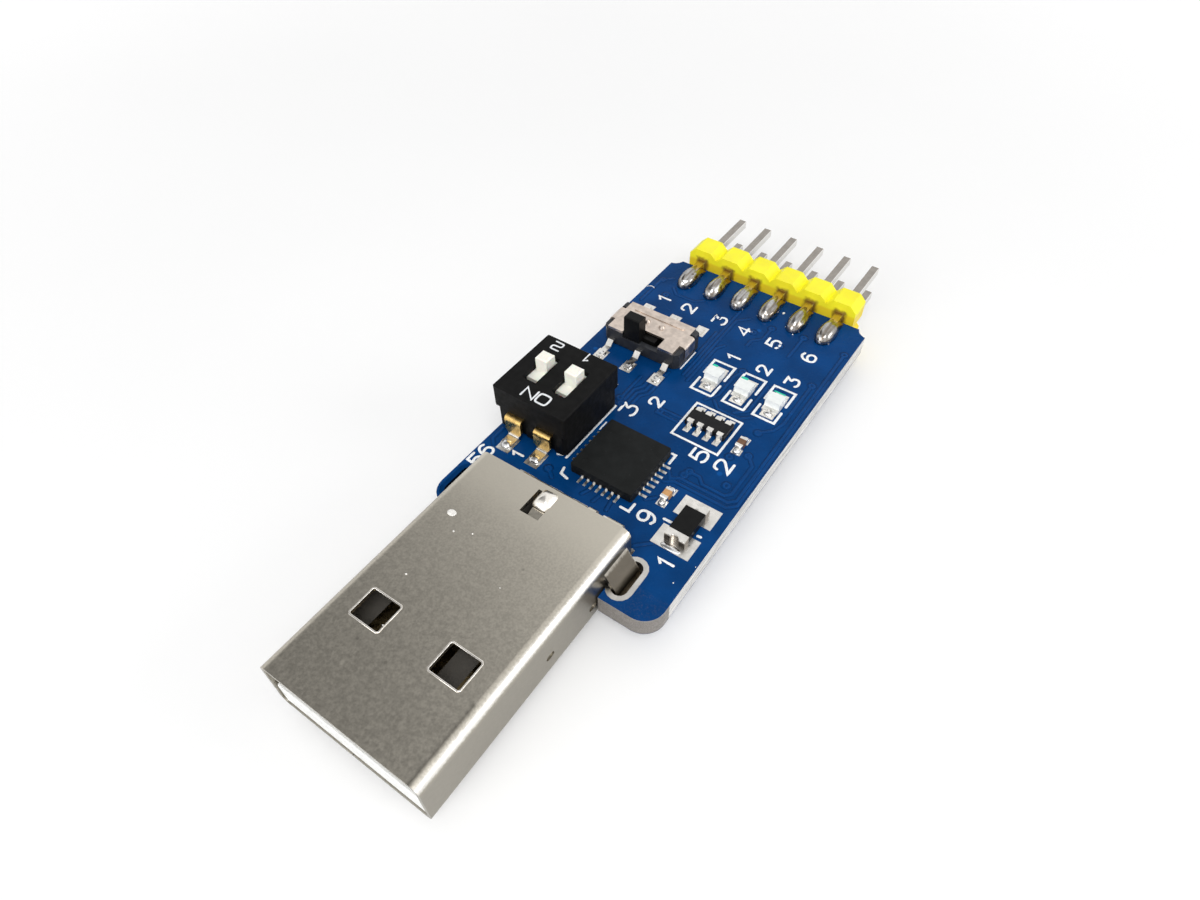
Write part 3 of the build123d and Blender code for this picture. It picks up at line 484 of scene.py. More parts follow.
def unit(vectors):
    """Vectors made one long."""
    return vectors / np.maximum(np.linalg.norm(vectors, axis=-1, keepdims=True), 1e-12)


def bead(path, width, height, base, closed=False, fullness=0.5):
    """Bead along a flat path. At each point the section is half a rounded bar, width * cos(a) across and
    height * sin(a)^fullness up, for a from 0 to pi, square to the mitred path; open ends close as a
    half circle."""
    path = np.asarray(path, float)
    if closed:
        before, after = np.roll(path, 1, 0), np.roll(path, -1, 0)
    else:
        before = np.vstack([2 * path[0] - path[1], path[:-1]])
        after = np.vstack([path[1:], 2 * path[-1] - path[-2]])
    ahead = unit(unit(path - before) + unit(after - path))
    side = np.stack([-ahead[:, 1], ahead[:, 0]], -1)
    mitre = 1 / np.maximum((unit(after - path) * ahead).sum(-1), 0.6)
    half = np.full(len(path), width / 2) * mitre
    rise = np.ones(len(path))
    if not closed:
        turn = np.radians([84.0, 60.0, 32.0])
        first = path[0] - ahead[0] * (np.sin(turn) * width / 2)[:, None]
        last = path[-1] + ahead[-1] * (np.sin(turn[::-1]) * width / 2)[:, None]
        path = np.vstack([first, path, last])
        side = np.vstack([np.repeat(side[:1], 3, 0), side, np.repeat(side[-1:], 3, 0)])
        half = np.concatenate([np.cos(turn) * width / 2, half, np.cos(turn[::-1]) * width / 2])
        rise = np.concatenate([np.cos(turn) ** 0.4, rise, np.cos(turn[::-1]) ** 0.4])
    angle = np.linspace(0, math.pi, 7)
    across = np.cos(angle)
    up = np.sin(angle) ** fullness
    up[0] = up[-1] = 0.0
    flat = path[:, None, :] + side[:, None, :] * (half[:, None] * across[None, :])[..., None]
    tall = base + height * rise[:, None] * up[None, :]
    return np.concatenate([flat, tall[..., None]], -1), closed


def soften(path, rounds=2):
    """Corner cutting: each corner is replaced by points a quarter and three quarters along its sides."""
    path = np.asarray(path, float)
    for _ in range(rounds):
        near = path[:-1] * 0.75 + path[1:] * 0.25
        far = path[:-1] * 0.25 + path[1:] * 0.75
        path = np.vstack([path[:1], np.stack([near, far], 1).reshape(-1, 2), path[-1:]])
    return path


def mound(x, y, across, along, height, base, power=0.6, skew=0.0, square=2.6):
    """Solder mound. At radius r from 0 to 1 and angle a the foot is a superellipse, across and along, and
    the height is height * (1 - r^2)^power, leaning by skew towards +Y."""
    radius = np.linspace(1.0, 0.06, 9)[:, None]
    angle = np.linspace(0, 2 * math.pi, 28, endpoint=False)[None, :]
    foot_x = np.sign(np.cos(angle)) * np.abs(np.cos(angle)) ** (2 / square)
    foot_y = np.sign(np.sin(angle)) * np.abs(np.sin(angle)) ** (2 / square)
    tall = height * (1 - radius ** 2) ** power
    px = x + across / 2 * radius * foot_x
    py = y + along / 2 * radius * foot_y + skew * (1 - radius)
    pz = base + tall + 0 * angle
    return np.stack([px, py, pz], -1), False


def dimpled_ring(x, y, outer, height, base):
    """Filled hole under the mask: a low ring that dips to a shallow pit, turned round its centre."""
    angle = np.linspace(0, 2 * math.pi, 20, endpoint=False)[None, :]
    radius = outer * np.array([1.0, 0.86, 0.66, 0.5, 0.34, 0.12])[:, None]
    tall = height * np.array([0.0, 0.8, 1.0, 0.7, 0.15, 0.05])[:, None]
    px = x + radius * np.cos(angle)
    py = y + radius * np.sin(angle)
    return np.stack([px, py, base + tall + 0 * angle], -1), False


def add_piece(name, grids, material, body=CARRIER, replaces=()):
    """Makes a piece, lets it ride on a body and hides the parts that it stands in for."""
    piece = as_mesh(name, grids, material)
    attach(piece, body)
    if replaces:
        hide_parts(*replaces)
    return piece


# Strokes of the printed figures: places across and up, in a box 1 wide and 1.5 tall, or 1 for O and N.
STROKES = {
    "1": [[(0.2, 1.15), (0.55, 1.5), (0.55, 0.0)]],
    "2": [[(0.0, 1.1), (0.05, 1.45), (0.5, 1.55), (0.95, 1.4), (1.0, 1.0), (0.75, 0.7), (0.0, 0.0),
           (0.0, 0.0), (1.0, 0.0)]],
    "3": [[(0.0, 1.5), (0.9, 1.5), (0.95, 1.5), (0.5, 0.9), (0.95, 0.85), (1.05, 0.3), (0.75, 0.0),
           (0.2, -0.02), (0.0, 0.2)]],
    "4": [[(0.75, 0.0), (0.75, 1.5), (0.75, 1.5), (0.0, 0.45), (0.0, 0.45), (1.0, 0.45)]],
    "5": [[(0.95, 1.5), (0.1, 1.5), (0.1, 1.5), (0.03, 0.8), (0.03, 0.8), (0.6, 1.0), (1.0, 0.7), (1.0, 0.2),
           (0.65, -0.02), (0.2, 0.0), (0.0, 0.2)]],
    "6": [[(0.85, 1.4), (0.5, 1.6), (0.05, 1.2), (0.0, 0.4), (0.2, -0.03), (0.8, -0.03), (1.03, 0.4),
           (0.85, 0.88), (0.35, 0.9), (0.02, 0.55)]],
    "9": [[(0.15, 0.1), (0.5, -0.1), (0.95, 0.3), (1.0, 1.1), (0.8, 1.53), (0.2, 1.53), (-0.03, 1.1),
           (0.15, 0.62), (0.65, 0.6), (0.98, 0.95)]],
    "Z": [[(0.0, 1.5), (0.85, 1.5), (1.0, 1.4), (1.0, 0.9), (0.85, 0.78), (0.15, 0.74), (0.0, 0.62),
           (0.0, 0.1), (0.12, 0.0), (1.0, 0.0)]],
    "O": [[(0.5, 1.0), (0.12, 1.0), (0.0, 0.8), (0.0, 0.2), (0.12, 0.0), (0.88, 0.0), (1.0, 0.2), (1.0, 0.8),
           (0.88, 1.0), (0.5, 1.0)]],
    "N": [[(0.0, 0.0), (0.0, 1.0), (0.0, 1.0), (1.0, 0.0), (1.0, 0.0), (1.0, 1.0)]],
}
SHARP = "14N"


def figure(sign, corner, run, rise, wide, tall, stroke, thick, base):
    """Beads of one figure: its strokes laid from a corner along the directions run and rise."""
    grids = []
    for path in STROKES[sign]:
        path = np.asarray(path, float)
        if sign not in SHARP:
            path = soften(path)
        path = path[np.r_[True, np.linalg.norm(np.diff(path, axis=0), axis=1) > 1e-6]]
        limit = 1.0 if sign in "ON" else 1.5
        across = path[:, :1] * wide * np.asarray(run)
        up = path[:, 1:] / limit * tall * np.asarray(rise)
        grids.append(bead(np.asarray(corner) + across + up, stroke, thick, base, fullness=0.3))
    return grids


class FinishBoard(bpy.types.Operator):
    """Blue masked board with pale cut edges, tinned pads and plated slots"""
    bl_idname = "adapter.finish_board"
    bl_label = "Board"

    def execute(self, context):
        look = context.scene.adapter_board
        metal = context.scene.adapter_metal
        board = Finish("blue_mask_board", look.mask, 0.16, 3.0)
        board.specks(shade(look.mask, 1.7), 1.6, 0.10, 0.16)
        fibres = effect(board.tree, "drawn_lines", board.place, "Tone", Size=0.07 * MM)
        edge = blend_colour(board.tree, fibres, shade(look.edge, 0.62), shade(look.edge, 1.2))
        board.band(edge, float(BOARD_LOW.z) + 0.05 * MM, float(BOARD_HIGH.z) - 0.05 * MM, 0.012)
        # Painted shade: a grey-brown patch on the front of the board's cut edge, right of the plug, where the
        # shell shades it.
        board.patch((0.14, 0.12, 0.105), (7.4, 15.3, -0.82), (2.6, 1.7, 0.77), 0.06, 0.8)
        board.value(Specular_IOR_Level=0.07).roughness(0.20, 0.32, 1.2).grain(0.45, 0.003).grain(0.05, 0.0006)
        board.on("circuit_board")
        tin = Finish("tinned_pads", metal.tin, 0.10, 0.6).specks(shade(metal.tin, 0.6), 0.9, 0.12, 0.25)
        tin.value(Metallic=1.0).roughness(0.24, 0.38, 0.5).grain(0.45, 0.014).on("top_pads", "under_pads")
        ring = Finish("plated_slot", shade(metal.tin, 0.85), 0.08, 0.8).lines(shade(metal.tin, 0.7), 0.2, 0.3)
        ring.patch(look.mask, (LEFT_SLOT_X, SLOT_Y, 0.0), (1.4, 2.4, 0.4), 0.05)
        ring.value(Metallic=1.0).roughness(0.26, 0.38, 0.6).grain(0.5, 0.006).on("slot_rings")
        return {"FINISHED"}


# Signal tracks: each is a path of x, y places on the component face.
TRACKS = [
    [(3.35, 25.9), (3.85, 25.35), (4.35, 25.75), (8.05, 25.75), (8.5, 26.2), (8.5, 43.2)],
    [(3.6, 24.9), (4.2, 25.3), (8.2, 25.3), (8.75, 25.85), (8.75, 40.0)],
    [(4.7, 26.6), (5.4, 26.6), (5.9, 26.12), (7.6, 26.12), (7.95, 26.5), (7.95, 29.4), (7.3, 30.1)],
    [(-0.3, 30.6), (1.5, 30.6)],
    [(-0.3, 30.1), (1.5, 30.1)],
    [(-2.95, 29.9), (-2.95, 31.2), (-2.6, 31.8), (-2.6, 33.4)],
    [(-2.6, 29.9), (-2.6, 31.0), (-2.2, 31.6), (-2.2, 33.6)],
    [(-2.25, 29.9), (-2.25, 30.8), (-1.8, 31.4), (-1.8, 34.2)],
    [(-3.3, 30.0), (-3.3, 32.6)],
    [(-0.75, 34.6), (-0.75, 43.6)],
    [(-0.45, 34.6), (-0.45, 42.4), (0.35, 43.2)],
    [(-0.15, 34.2), (-0.15, 38.6), (0.25, 39.2)],
    [(-1.05, 36.0), (-1.05, 40.2)],
    [(2.9, 37.3), (2.6, 36.6), (2.6, 34.2), (2.0, 33.2)],
    [(5.2, 37.0), (5.2, 33.9), (4.4, 33.2)],
    [(2.6, 33.5), (3.2, 32.9), (5.0, 32.9), (5.7, 33.5)],
    [(6.8, 32.4), (7.6, 33.2), (7.9, 34.2), (7.9, 38.6)],
    [(4.85, 19.4), (5.7, 20.2)],
    [(-0.4, 20.9), (-0.1, 21.6)],
    [(0.6, 20.8), (0.75, 21.6)],
    [(1.75, 20.7), (1.6, 21.6)],
    [(3.9, 23.4), (3.4, 22.9)],
    [(-6.9, 43.2), (-6.3, 42.6), (-4.6, 42.6), (-3.9, 43.2)],
    [(-8.4, 40.4), (-8.4, 43.6), (-7.6, 44.3)],
    [(-8.6, 22.6), (-8.6, 21.4), (-8.2, 21.0)],
    [(-3.6, 21.4), (-2.9, 20.9)],
    [(2.4, 43.0), (2.4, 41.6), (1.7, 40.9), (1.7, 40.2)],
    [(5.0, 43.4), (5.0, 40.8)],
]
HOLES = [(-3.35, 29.85), (-2.95, 29.4), (7.25, 30.1), (7.3, 26.95), (4.6, 26.6), (4.45, 26.15), (6.8, 32.4),
         (2.85, 37.4), (-1.9, 41.9), (1.4, 41.9), (3.85, 41.6), (2.4, 43.1), (-3.6, 21.4), (-7.0, 42.1),
         (-8.3, 43.7), (7.9, 38.9), (6.2, 29.3), (5.0, 43.5), (-0.15, 30.35), (8.5, 43.4)]


class LayTracks(bpy.types.Operator):
    """Raised tracks and filled holes under the blue mask"""
    bl_idname = "adapter.lay_tracks"
    bl_label = "Tracks"

    def execute(self, context):
        look = context.scene.adapter_board
        wide = look.track_width / MM
        tall = look.track_height / MM
        bare = Finish("mask_over_bare_board", look.mask_dark, 0.12, 1.2).value(Specular_IOR_Level=0.07)
        bare.roughness(0.2, 0.32, 0.8).grain(0.3, 0.002)
        bare = bare.done()
        gaps = [bead(path, wide + 0.16, 0.005, 0.0, fullness=0.15) for path in TRACKS]
        gaps += [bead([(x - 0.01, y), (x + 0.01, y)], 0.8, 0.0055, 0.0, fullness=0.15) for x, y in HOLES]
        add_piece("track_gaps", gaps, bare)
        track = Finish("mask_over_track", shade(look.mask, 1.1), 0.1, 1.5).value(Specular_IOR_Level=0.10)
        track = track.roughness(0.18, 0.28, 0.8).done()
        tracks = [bead(path, wide, tall, 0.0, fullness=0.7) for path in TRACKS]
        tracks += [dimpled_ring(x, y, 0.3, tall * 1.3, 0.0) for x, y in HOLES]
        add_piece("board_tracks", tracks, track)
        return {"FINISHED"}


def frame_gap(x0, x1, y0, y1, low, high):
    """Two open brackets: a rectangle with both long sides cut between low and high."""
    return [[(x0, low), (x0, y0), (x1, y0), (x1, low)], [(x0, high), (x0, y1), (x1, y1), (x1, high)]]


SILK = [
    [(-4.15, 28.93), (-3.15, 28.93), (-3.15, 22.9)],
    [(-3.85, 22.82), (-3.5, 22.95)],
    [(-2.72, 22.05), (-2.6, 21.55), (-2.0, 21.4)],
    [(3.05, 22.15), (3.05, 21.45), (2.4, 21.45)],
    [(2.78, 27.32), (3.07, 27.32), (3.07, 26.45)],
    [(5.3, 22.25), (5.85, 22.27)],
    [(7.82, 22.3), (8.0, 22.32)],
    *frame_gap(0.45, 2.22, 33.73, 37.38, 35.05, 35.72),
    *frame_gap(3.1, 4.85, 33.8, 37.4, 35.05, 35.76),
    *frame_gap(5.58, 7.3, 33.85, 37.4, 35.05, 35.8),
]
SILK_FINE = [
    [(-2.76, 26.4), (-2.76, 27.2)],
    [(-1.25, 35.05), (-1.25, 37.25)],
    [(-1.5, 35.1), (-1.5, 37.2)],
]
SILK_BOX = [(1.68, 28.98), (5.42, 28.98), (5.42, 32.6), (1.68, 32.6)]
# Plain figures stand where the board carries its part and pin marks: sign, x of the foot, y of the start.
PRINTED = [
    ("3", -1.55, 28.75, 0.95, 1.15), ("5", 5.0, 27.8, 0.95, 1.15), ("2", 6.88, 27.85, 0.95, 1.15),
    ("9", 4.85, 21.3, 0.85, 1.15), ("1", 7.7, 19.1, 0.7, 1.05), ("1", -5.75, 20.95, 0.6, 0.85),
    ("1", -6.3, 41.2, 0.85, 1.05), ("2", -3.95, 41.2, 0.85, 1.05), ("3", -1.05, 41.3, 0.85, 1.05),
    ("4", 1.2, 41.2, 0.85, 1.05), ("5", 3.85, 41.2, 0.85, 1.05), ("6", 6.85, 41.2, 0.85, 1.05),
    ("1", 2.0, 38.1, 0.75, 1.0), ("2", 4.6, 38.1, 0.75, 1.0), ("3", 7.0, 38.1, 0.75, 1.0),
    ("2", -0.4, 30.6, 0.75, 0.95), ("5", -7.75, 18.8, 0.8, 1.05), ("6", -7.75, 19.85, 0.8, 1.05),
]


class PrintSilk(bpy.types.Operator):
    """White frames, brackets and plain figures printed on the board"""
    bl_idname = "adapter.print_silk"
    bl_label = "White print"

    def execute(self, context):
        look = context.scene.adapter_board
        wide = look.silk_width / MM
        ink = Finish("white_board_ink", look.silk, 0.05, 0.5).specks(shade(look.silk, 0.8), 0.3, 0.15, 0.3)
        ink = ink.roughness(0.5, 0.65, 0.3).grain(0.06, 0.003).done()
        grids = [bead(path, wide, PRINT_THICKNESS, 0.0, fullness=0.25) for path in SILK]
        grids += [bead(path, wide * 0.6, PRINT_THICKNESS, 0.0, fullness=0.25) for path in SILK_FINE]
        grids.append(bead(SILK_BOX, wide * 0.9, PRINT_THICKNESS, 0.0, closed=True, fullness=0.25))
        add_piece("silk_lines", grids, ink)
        figures = []
        for sign, foot, start, wide_run, tall in PRINTED:
            figures += figure(sign, (foot, start), (0, 1), (-1, 0), wide_run, tall, wide,
                              PRINT_THICKNESS, 0.0)
        add_piece("silk_figures", figures, ink)
        return {"FINISHED"}


def window_rim(x):
    """Corners of the rolled edge round a punched window, cut off a little."""
    a, b, c = WINDOW_WIDTH / 2 + 0.03, WINDOW_LENGTH / 2 + 0.03, 0.12
    corners = [(a - c, b), (-a + c, b), (-a, b - c), (-a, -b + c),
               (-a + c, -b), (a - c, -b), (a, -b + c), (a, b - c)]
    return [(x + dx, WINDOW_Y + dy) for dx, dy in corners]


# White flecks: x, y, across, along, and 1 on the plug or 0 on the board.
FLECKS = [(-5.1, 13.7, 0.66, 0.50, 1), (-4.05, 12.7, 0.16, 0.13, 1), (-2.95, 13.2, 0.13, 0.11, 1),
          (-4.3, 8.8, 0.15, 0.12, 1), (-3.0, 5.6, 0.1, 0.1, 1), (0.9, 11.2, 0.09, 0.09, 1),
          (2.3, 45.4, 0.22, 0.3, 0), (4.1, 43.4, 0.12, 0.12, 0),
          (8.35, 18.45, 0.1, 0.1, 0), (8.9, 20.2, 0.07, 0.07, 0)]


class FinishPlug(bpy.types.Operator):
    """Satin nickel plug shell with handling marks and with painted highlights, reflections and shade, white
    insulator, gold contacts and leg solder
    """
    bl_idname = "adapter.finish_plug"
    bl_label = "Plug"

    def execute(self, context):
        metal, plastic = looks(context.scene)
        nickel = Finish("satin_nickel", metal.nickel, 0.09, 0.14)
        nickel.specks(shade(metal.nickel, 1.3), 1.6, 0.12, 0.14)
        nickel.specks(shade(metal.nickel, 0.75), 1.2, 0.10, 0.12)
        # Painted reflection: the shell is lighter towards its rear.
        nickel.band(shade(metal.nickel, 1.25), depth_of(15.5), depth_of(22.0), 2.0, "Y", 0.8)
        # Painted shade: the shell is darker below 1.7 mm, on its sides and underneath.
        nickel.band(shade(metal.nickel, 0.72), height_of(-2.6), height_of(1.7), 0.3)
        # Painted reflection: a dark streak just inside the right bend.
        nickel.patch(shade(metal.nickel, 0.4), (4.36, 1.6, 2.3), (0.10, 3.4, 0.3), 0.14, 0.75)
        # Painted highlight: a near-white strip along the right bend.
        nickel.patch((0.96, 0.93, 0.88), (4.86, 9.0, 2.1), (0.20, 9.5, 0.22), 0.10, 0.9)
        nickel.patch(metal.leg_stain, (LEG_X, SLOT_Y, 0.1), (0.85, 1.35, 1.0), 0.12, 0.88, pitch=LEG_SPACING)
        nickel.value(Metallic=1.0).roughness(0.29, 0.34, 0.25).grain(0.07, 0.0003).on("usb_shell")
        white = Finish("white_insulator", plastic.insulator, 0.04, 0.8).roughness(0.4, 0.55).grain(0.1, 0.002)
        white.band(plastic.insulator_dark, depth_of(1.2), depth_of(20.0), 0.5, "Y").on("usb_insulator")
        gold = Finish("gold_contact", metal.gold, 0.08, 0.6).lines(shade(metal.gold, 0.75), 0.05, 0.4)
        # Painted shade: the contacts are darker from 1.2 mm to 17 mm behind the mouth, inside the shell.
        gold.band((0.09, 0.08, 0.055), depth_of(1.2), depth_of(17.0), 0.5, "Y", 0.85)
        gold.value(Metallic=1.0).roughness(0.2, 0.34, 0.4).grain(0.12, 0.003)
        gold.on("usb_contacts", "dip_wiper_1", "dip_wiper_2", "mode_wipers")
        solder = Finish("leg_solder_metal", (0.20, 0.16, 0.11), 0.2, 0.5)
        solder.specks((0.35, 0.24, 0.12), 0.5, 0.2, 0.3)
        solder.value(Metallic=1.0).roughness(0.18, 0.34, 0.3).grain(0.25, 0.02).on("leg_solder")
        # The window rims and the latch bulge take a lighter copy of the nickel, a painted highlight.
        rim = Finish("painted_edge_highlight", metal.bright, 0.04, 0.4).value(Metallic=1.0)
        rim = rim.roughness(0.24, 0.32, 0.3).grain(0.2, 0.001).done()
        top = top_of("usb_shell")
        rims = [bead(window_rim(x), 0.12, 0.045, top - 0.004, closed=True) for x in WINDOW_XS]
        add_piece("window_rims", rims, rim)
        blob = mound(LATCH_X, LATCH_Y, 1.5, 1.8, 0.84, top - 0.45, square=4.5)
        add_piece("latch_bulge", [blob], rim)
        fleck = Finish("white_fleck", (0.86, 0.84, 0.80), 0.1, 0.2).roughness(0.5, 0.7, 0.2)
        fleck.grain(0.05, 0.004)
        grids = [mound(x, y, wide, long, 0.03, top * high, 0.5, square=2.0)
                 for x, y, wide, long, high in FLECKS]
        grids.append(bead([(-8.95, 42.2), (-8.7, 42.42), (-8.45, 42.42), (-8.3, 42.3)], 0.06, 0.03, 0.0))
        add_piece("flecks", grids, fleck.done())
        return {"FINISHED"}


def pin_places():
    """Middle of each pin of a row across the board, in millimetres, from the frame's pins."""
    low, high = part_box("header_pins_upper")
    side = high.z - low.z
    first = (low.x + side / 2 - ORIGIN[0]) / MM
    last = (high.x - side / 2 - ORIGIN[0]) / MM
    return np.linspace(first, last, PINS_PER_ROW)


def pin_joint(x, wide, long, tall, base, side, twist):
    """Header joint, t from 0 at its front to 1 at its rear. Half its width is wide / 2 * (1 - (1 - t)^6)^0.5
    drawn in to the pin's flank by a soft step at t = 0.62; its height is tall times a steep rise and a slow
    fall; its section goes from round, sin(a)^0.9, at the front to hollow-flanked, sin(a)^1.4, at the rear."""
    t = np.linspace(0.004, 1.0, 26)[:, None]
    a = np.linspace(0, math.pi, 17)[None, :]
    step = 1 / (1 + np.exp(-(t - 0.62) / 0.07))
    half = wide / 2 * np.sqrt(1 - (1 - t) ** 6) * (1 - 0.26 * step)
    top = tall * (1 - (1 - t) ** 6) ** 0.52 * (1 - 0.16 * step) * (1 - 0.8 * t ** 9)
    hollow = 0.9 + 0.5 * step
    dip = 1 - 0.2 * np.exp(-((a - 1.0 - 0.5 * twist) / 0.28) ** 2) * np.sin(math.pi * t)
    px = x + half * np.cos(a) + 0.06 * twist * (t - 0.5)
    py = JOINT_Y + long * (t - 0.5) + 0 * a
    pz = base + side * top * dip * np.sin(a) ** hollow
    return np.stack([px, py, pz], -1), False


class SolderHeader(bpy.types.Operator):
    """Yellow header with painted shade at its foot, tinned pins with a gold tint and a painted highlight on
    one flank, and shiny joints
    """
    bl_idname = "adapter.solder_header"
    bl_label = "Pin header"

    def execute(self, context):
        metal, plastic = looks(context.scene)
        yellow = Finish("yellow_header", plastic.header, 0.05, 1.4)
        # Painted shade: the header is deeper orange below 0.8 mm, towards the board.
        yellow.band((0.80, 0.50, 0.01), height_of(-4.0), height_of(0.80), 0.16, strength=0.6)
        # Painted shade: dark brown at the header's foot round each pin.
        yellow.patch(plastic.header_pin_shade, (FIRST_PIN_X, 46.9, 0.2), (0.55, 0.7, 0.85), 0.2, 0.9,
                     pitch=PIN_PITCH)
        yellow.roughness(0.34, 0.5, 0.7).grain(0.12, 0.003).grain(0.7, 0.01).on("header_body")
        pins = Finish("header_pin_tin", metal.pin, 0.08, 0.6).lines(shade(metal.pin, 1.2), 0.1, 0.3)
        pins.band(shade(metal.gold, 0.75), depth_of(45.6), depth_of(47.4), 0.5, "Y", 0.75)
        # Painted highlight: a near-white strip down the right flank of each pin.
        pins.patch(metal.pin_flank_highlight, (FIRST_PIN_X + 0.32, 51.0, 0.0), (0.04, 4.5, 4.0), 0.03, pitch=PIN_PITCH)
        pins.value(Metallic=1.0).roughness(0.2, 0.26, 0.8).grain(0.3, 0.0006)
        pins.on("header_pins_upper", "header_pins_lower")
        solder = Finish("joint_solder", shade(metal.solder, 0.72), 0.16, 0.4)
        solder.specks((0.14, 0.11, 0.08), 0.5, 0.1, 0.30)
        solder.lines((0.16, 0.12, 0.08), 0.22, 0.8)
        solder.band((0.36, 0.21, 0.06), depth_of(45.75), depth_of(48.0), 0.35, "Y", 0.75)
        solder = solder.value(Metallic=1.0).roughness(0.14, 0.28, 0.4).grain(0.7, 0.035).done()
        wide = metal.joint_width / MM
        long = metal.joint_length / MM
        twists = (0.6, -0.7, 0.9, 0.2, -0.4, 1.0)
        places = pin_places()
        tall = metal.joint_height / MM
        under = -BOARD_THICKNESS - PAD_TOP
        upper = [pin_joint(x, wide, long, tall, PAD_TOP, 1, t) for x, t in zip(places, twists)]
        lower = [pin_joint(x, wide, long, tall, under, -1, t) for x, t in zip(places, twists[::-1])]
        add_piece("upper_joints", upper, solder, replaces=["pin_joints_upper"])
        add_piece("lower_joints", lower, solder, replaces=["pin_joints_lower"])
        return {"FINISHED"}


# Marks on the DIP switch, upside down to the plug: sign, corner, width, height and share of the ink stroke.
# Z is a squared two.
SWITCH_MARKS = [("O", (-4.85, 23.95), 0.93, 0.88, 1.0), ("N", (-5.98, 23.9), 0.93, 0.85, 1.0),
                ("1", (-4.95, 28.95), 0.7, 0.82, 0.8), ("Z", (-7.42, 28.74), 0.70, 0.80, 0.9)]


class FinishDip(bpy.types.Operator):
    """Matte black DIP switch with white knobs, gold leads and its printed figures"""
    bl_idname = "adapter.finish_dip"
    bl_label = "DIP switch"

    def execute(self, context):
        metal, plastic = looks(context.scene)
        black = Finish("switch_moulding", plastic.black, 0.2, 0.5).specks((0.10, 0.10, 0.10), 0.7, 0.12, 0.10)
        black.value(Specular_IOR_Level=0.08).roughness(0.40, 0.55, 0.4).grain(0.09, 0.005)
        black.on("dip_base", "dip_cover")
        knob = Finish("knob_moulding", plastic.knob, 0.05, 0.6).roughness(0.35, 0.5, 0.3).grain(0.1, 0.002)
        knob.value(Subsurface_Weight=0.12, Subsurface_Scale=0.0004).on("dip_slider_1", "dip_slider_2")
        leads = Finish("gold_lead", metal.gold, 0.10, 0.6).specks(shade(metal.gold, 0.5), 0.8, 0.12, 0.25)
        leads.band(metal.tin, height_of(-0.2), height_of(0.42), 0.16)
        leads.value(Metallic=1.0).roughness(0.2, 0.34, 0.4).grain(0.35, 0.010).on("dip_leads")
        ink = Finish("white_switch_ink", plastic.ink, 0.06, 0.3).roughness(0.5, 0.62, 0.3)
        ink = ink.grain(0.05, 0.002).done()
        wide = plastic.ink_width / MM
        top = top_of("dip_cover")
        figures = []
        for sign, corner, run, tall, share in SWITCH_MARKS:
            figures += figure(sign, corner, (-1, 0), (0, -1), run, tall, wide * share, INK_THICKNESS, top)
        add_piece("dip_print", figures, ink)
        return {"FINISHED"}


class FinishModeSwitch(bpy.types.Operator):
    """Slide switch with a pale nickel cover, black base and lever, and tinned terminals"""
    bl_idname = "adapter.finish_mode_switch"
    bl_label = "Slide switch"

    def execute(self, context):
        metal, plastic = looks(context.scene)
        cover = Finish("pale_nickel_sheet", metal.cover, 0.13, 0.45)
        cover.specks(shade(metal.cover, 0.8), 1.2, 0.10, 0.12)
        cover.value(Metallic=1.0).roughness(0.28, 0.40, 0.6).grain(0.35, 0.003).on("mode_cover")
        base = Finish("slide_base_moulding", plastic.slide_base, 0.2, 0.4).roughness(0.36, 0.5, 0.3)
        base.value(Specular_IOR_Level=0.3).grain(0.12, 0.004).on("mode_base")
        lever = Finish("lever_moulding", plastic.black, 0.15, 0.4).roughness(0.3, 0.44, 0.3)
        lever.grain(0.12, 0.004).value(Specular_IOR_Level=0.12).on("mode_lever")
        tinned = Finish("tinned_terminal", metal.tin, 0.1, 0.5).specks(shade(metal.tin, 0.5), 0.7, 0.12, 0.25)
        tinned.value(Metallic=1.0).roughness(0.22, 0.36, 0.4).grain(0.35, 0.012).on("mode_terminals")
        return {"FINISHED"}


class FinishChips(bpy.types.Operator):
    """Matte epoxy chips with tinned leads"""
    bl_idname = "adapter.finish_chips"
    bl_label = "Chips"

    def execute(self, context):
        metal, plastic = looks(context.scene)
        epoxy = Finish("chip_epoxy", plastic.epoxy, 0.18, 0.8)
        epoxy.specks(shade(plastic.epoxy, 2.2), 0.35, 0.25, 0.18)
        epoxy.value(Specular_IOR_Level=0.12).roughness(0.46, 0.58, 0.5).grain(0.07, 0.003)
        epoxy.on("bridge_chip", "driver_chip", "bus_chip")
        leads = Finish("tinned_lead", shade(metal.tin, 1.1), 0.08, 0.3)
        leads.value(Metallic=1.0).roughness(0.2, 0.36, 0.2).grain(0.15, 0.008)
        leads.on("bridge_chip_leads", "driver_chip_leads", "bus_chip_leads")
        return {"FINISHED"}


# Solder mounds beside the small parts: x, y, across, along, height.
MOUNDS = [
    (1.45, 34.5, 0.75, 0.55, 0.20), (3.99, 34.5, 0.75, 0.55, 0.20), (6.53, 34.5, 0.75, 0.55, 0.20),
    (4.5, 23.2, 0.55, 0.5, 0.26), (4.5, 24.5, 0.55, 0.5, 0.26),
    (6.4, 29.95, 0.6, 0.5, 0.28), (6.4, 31.25, 0.6, 0.5, 0.28),
    (-7.32, 21.5, 0.95, 0.85, 0.30), (-4.78, 21.5, 0.95, 0.85, 0.30),
    (-7.26, 33.0, 0.7, 0.9, 0.20), (-4.72, 33.0, 0.7, 0.9, 0.20), (-2.18, 33.0, 0.7, 0.9, 0.20),
    (6.87, 20.5, 1.5, 0.5, 0.12),
]


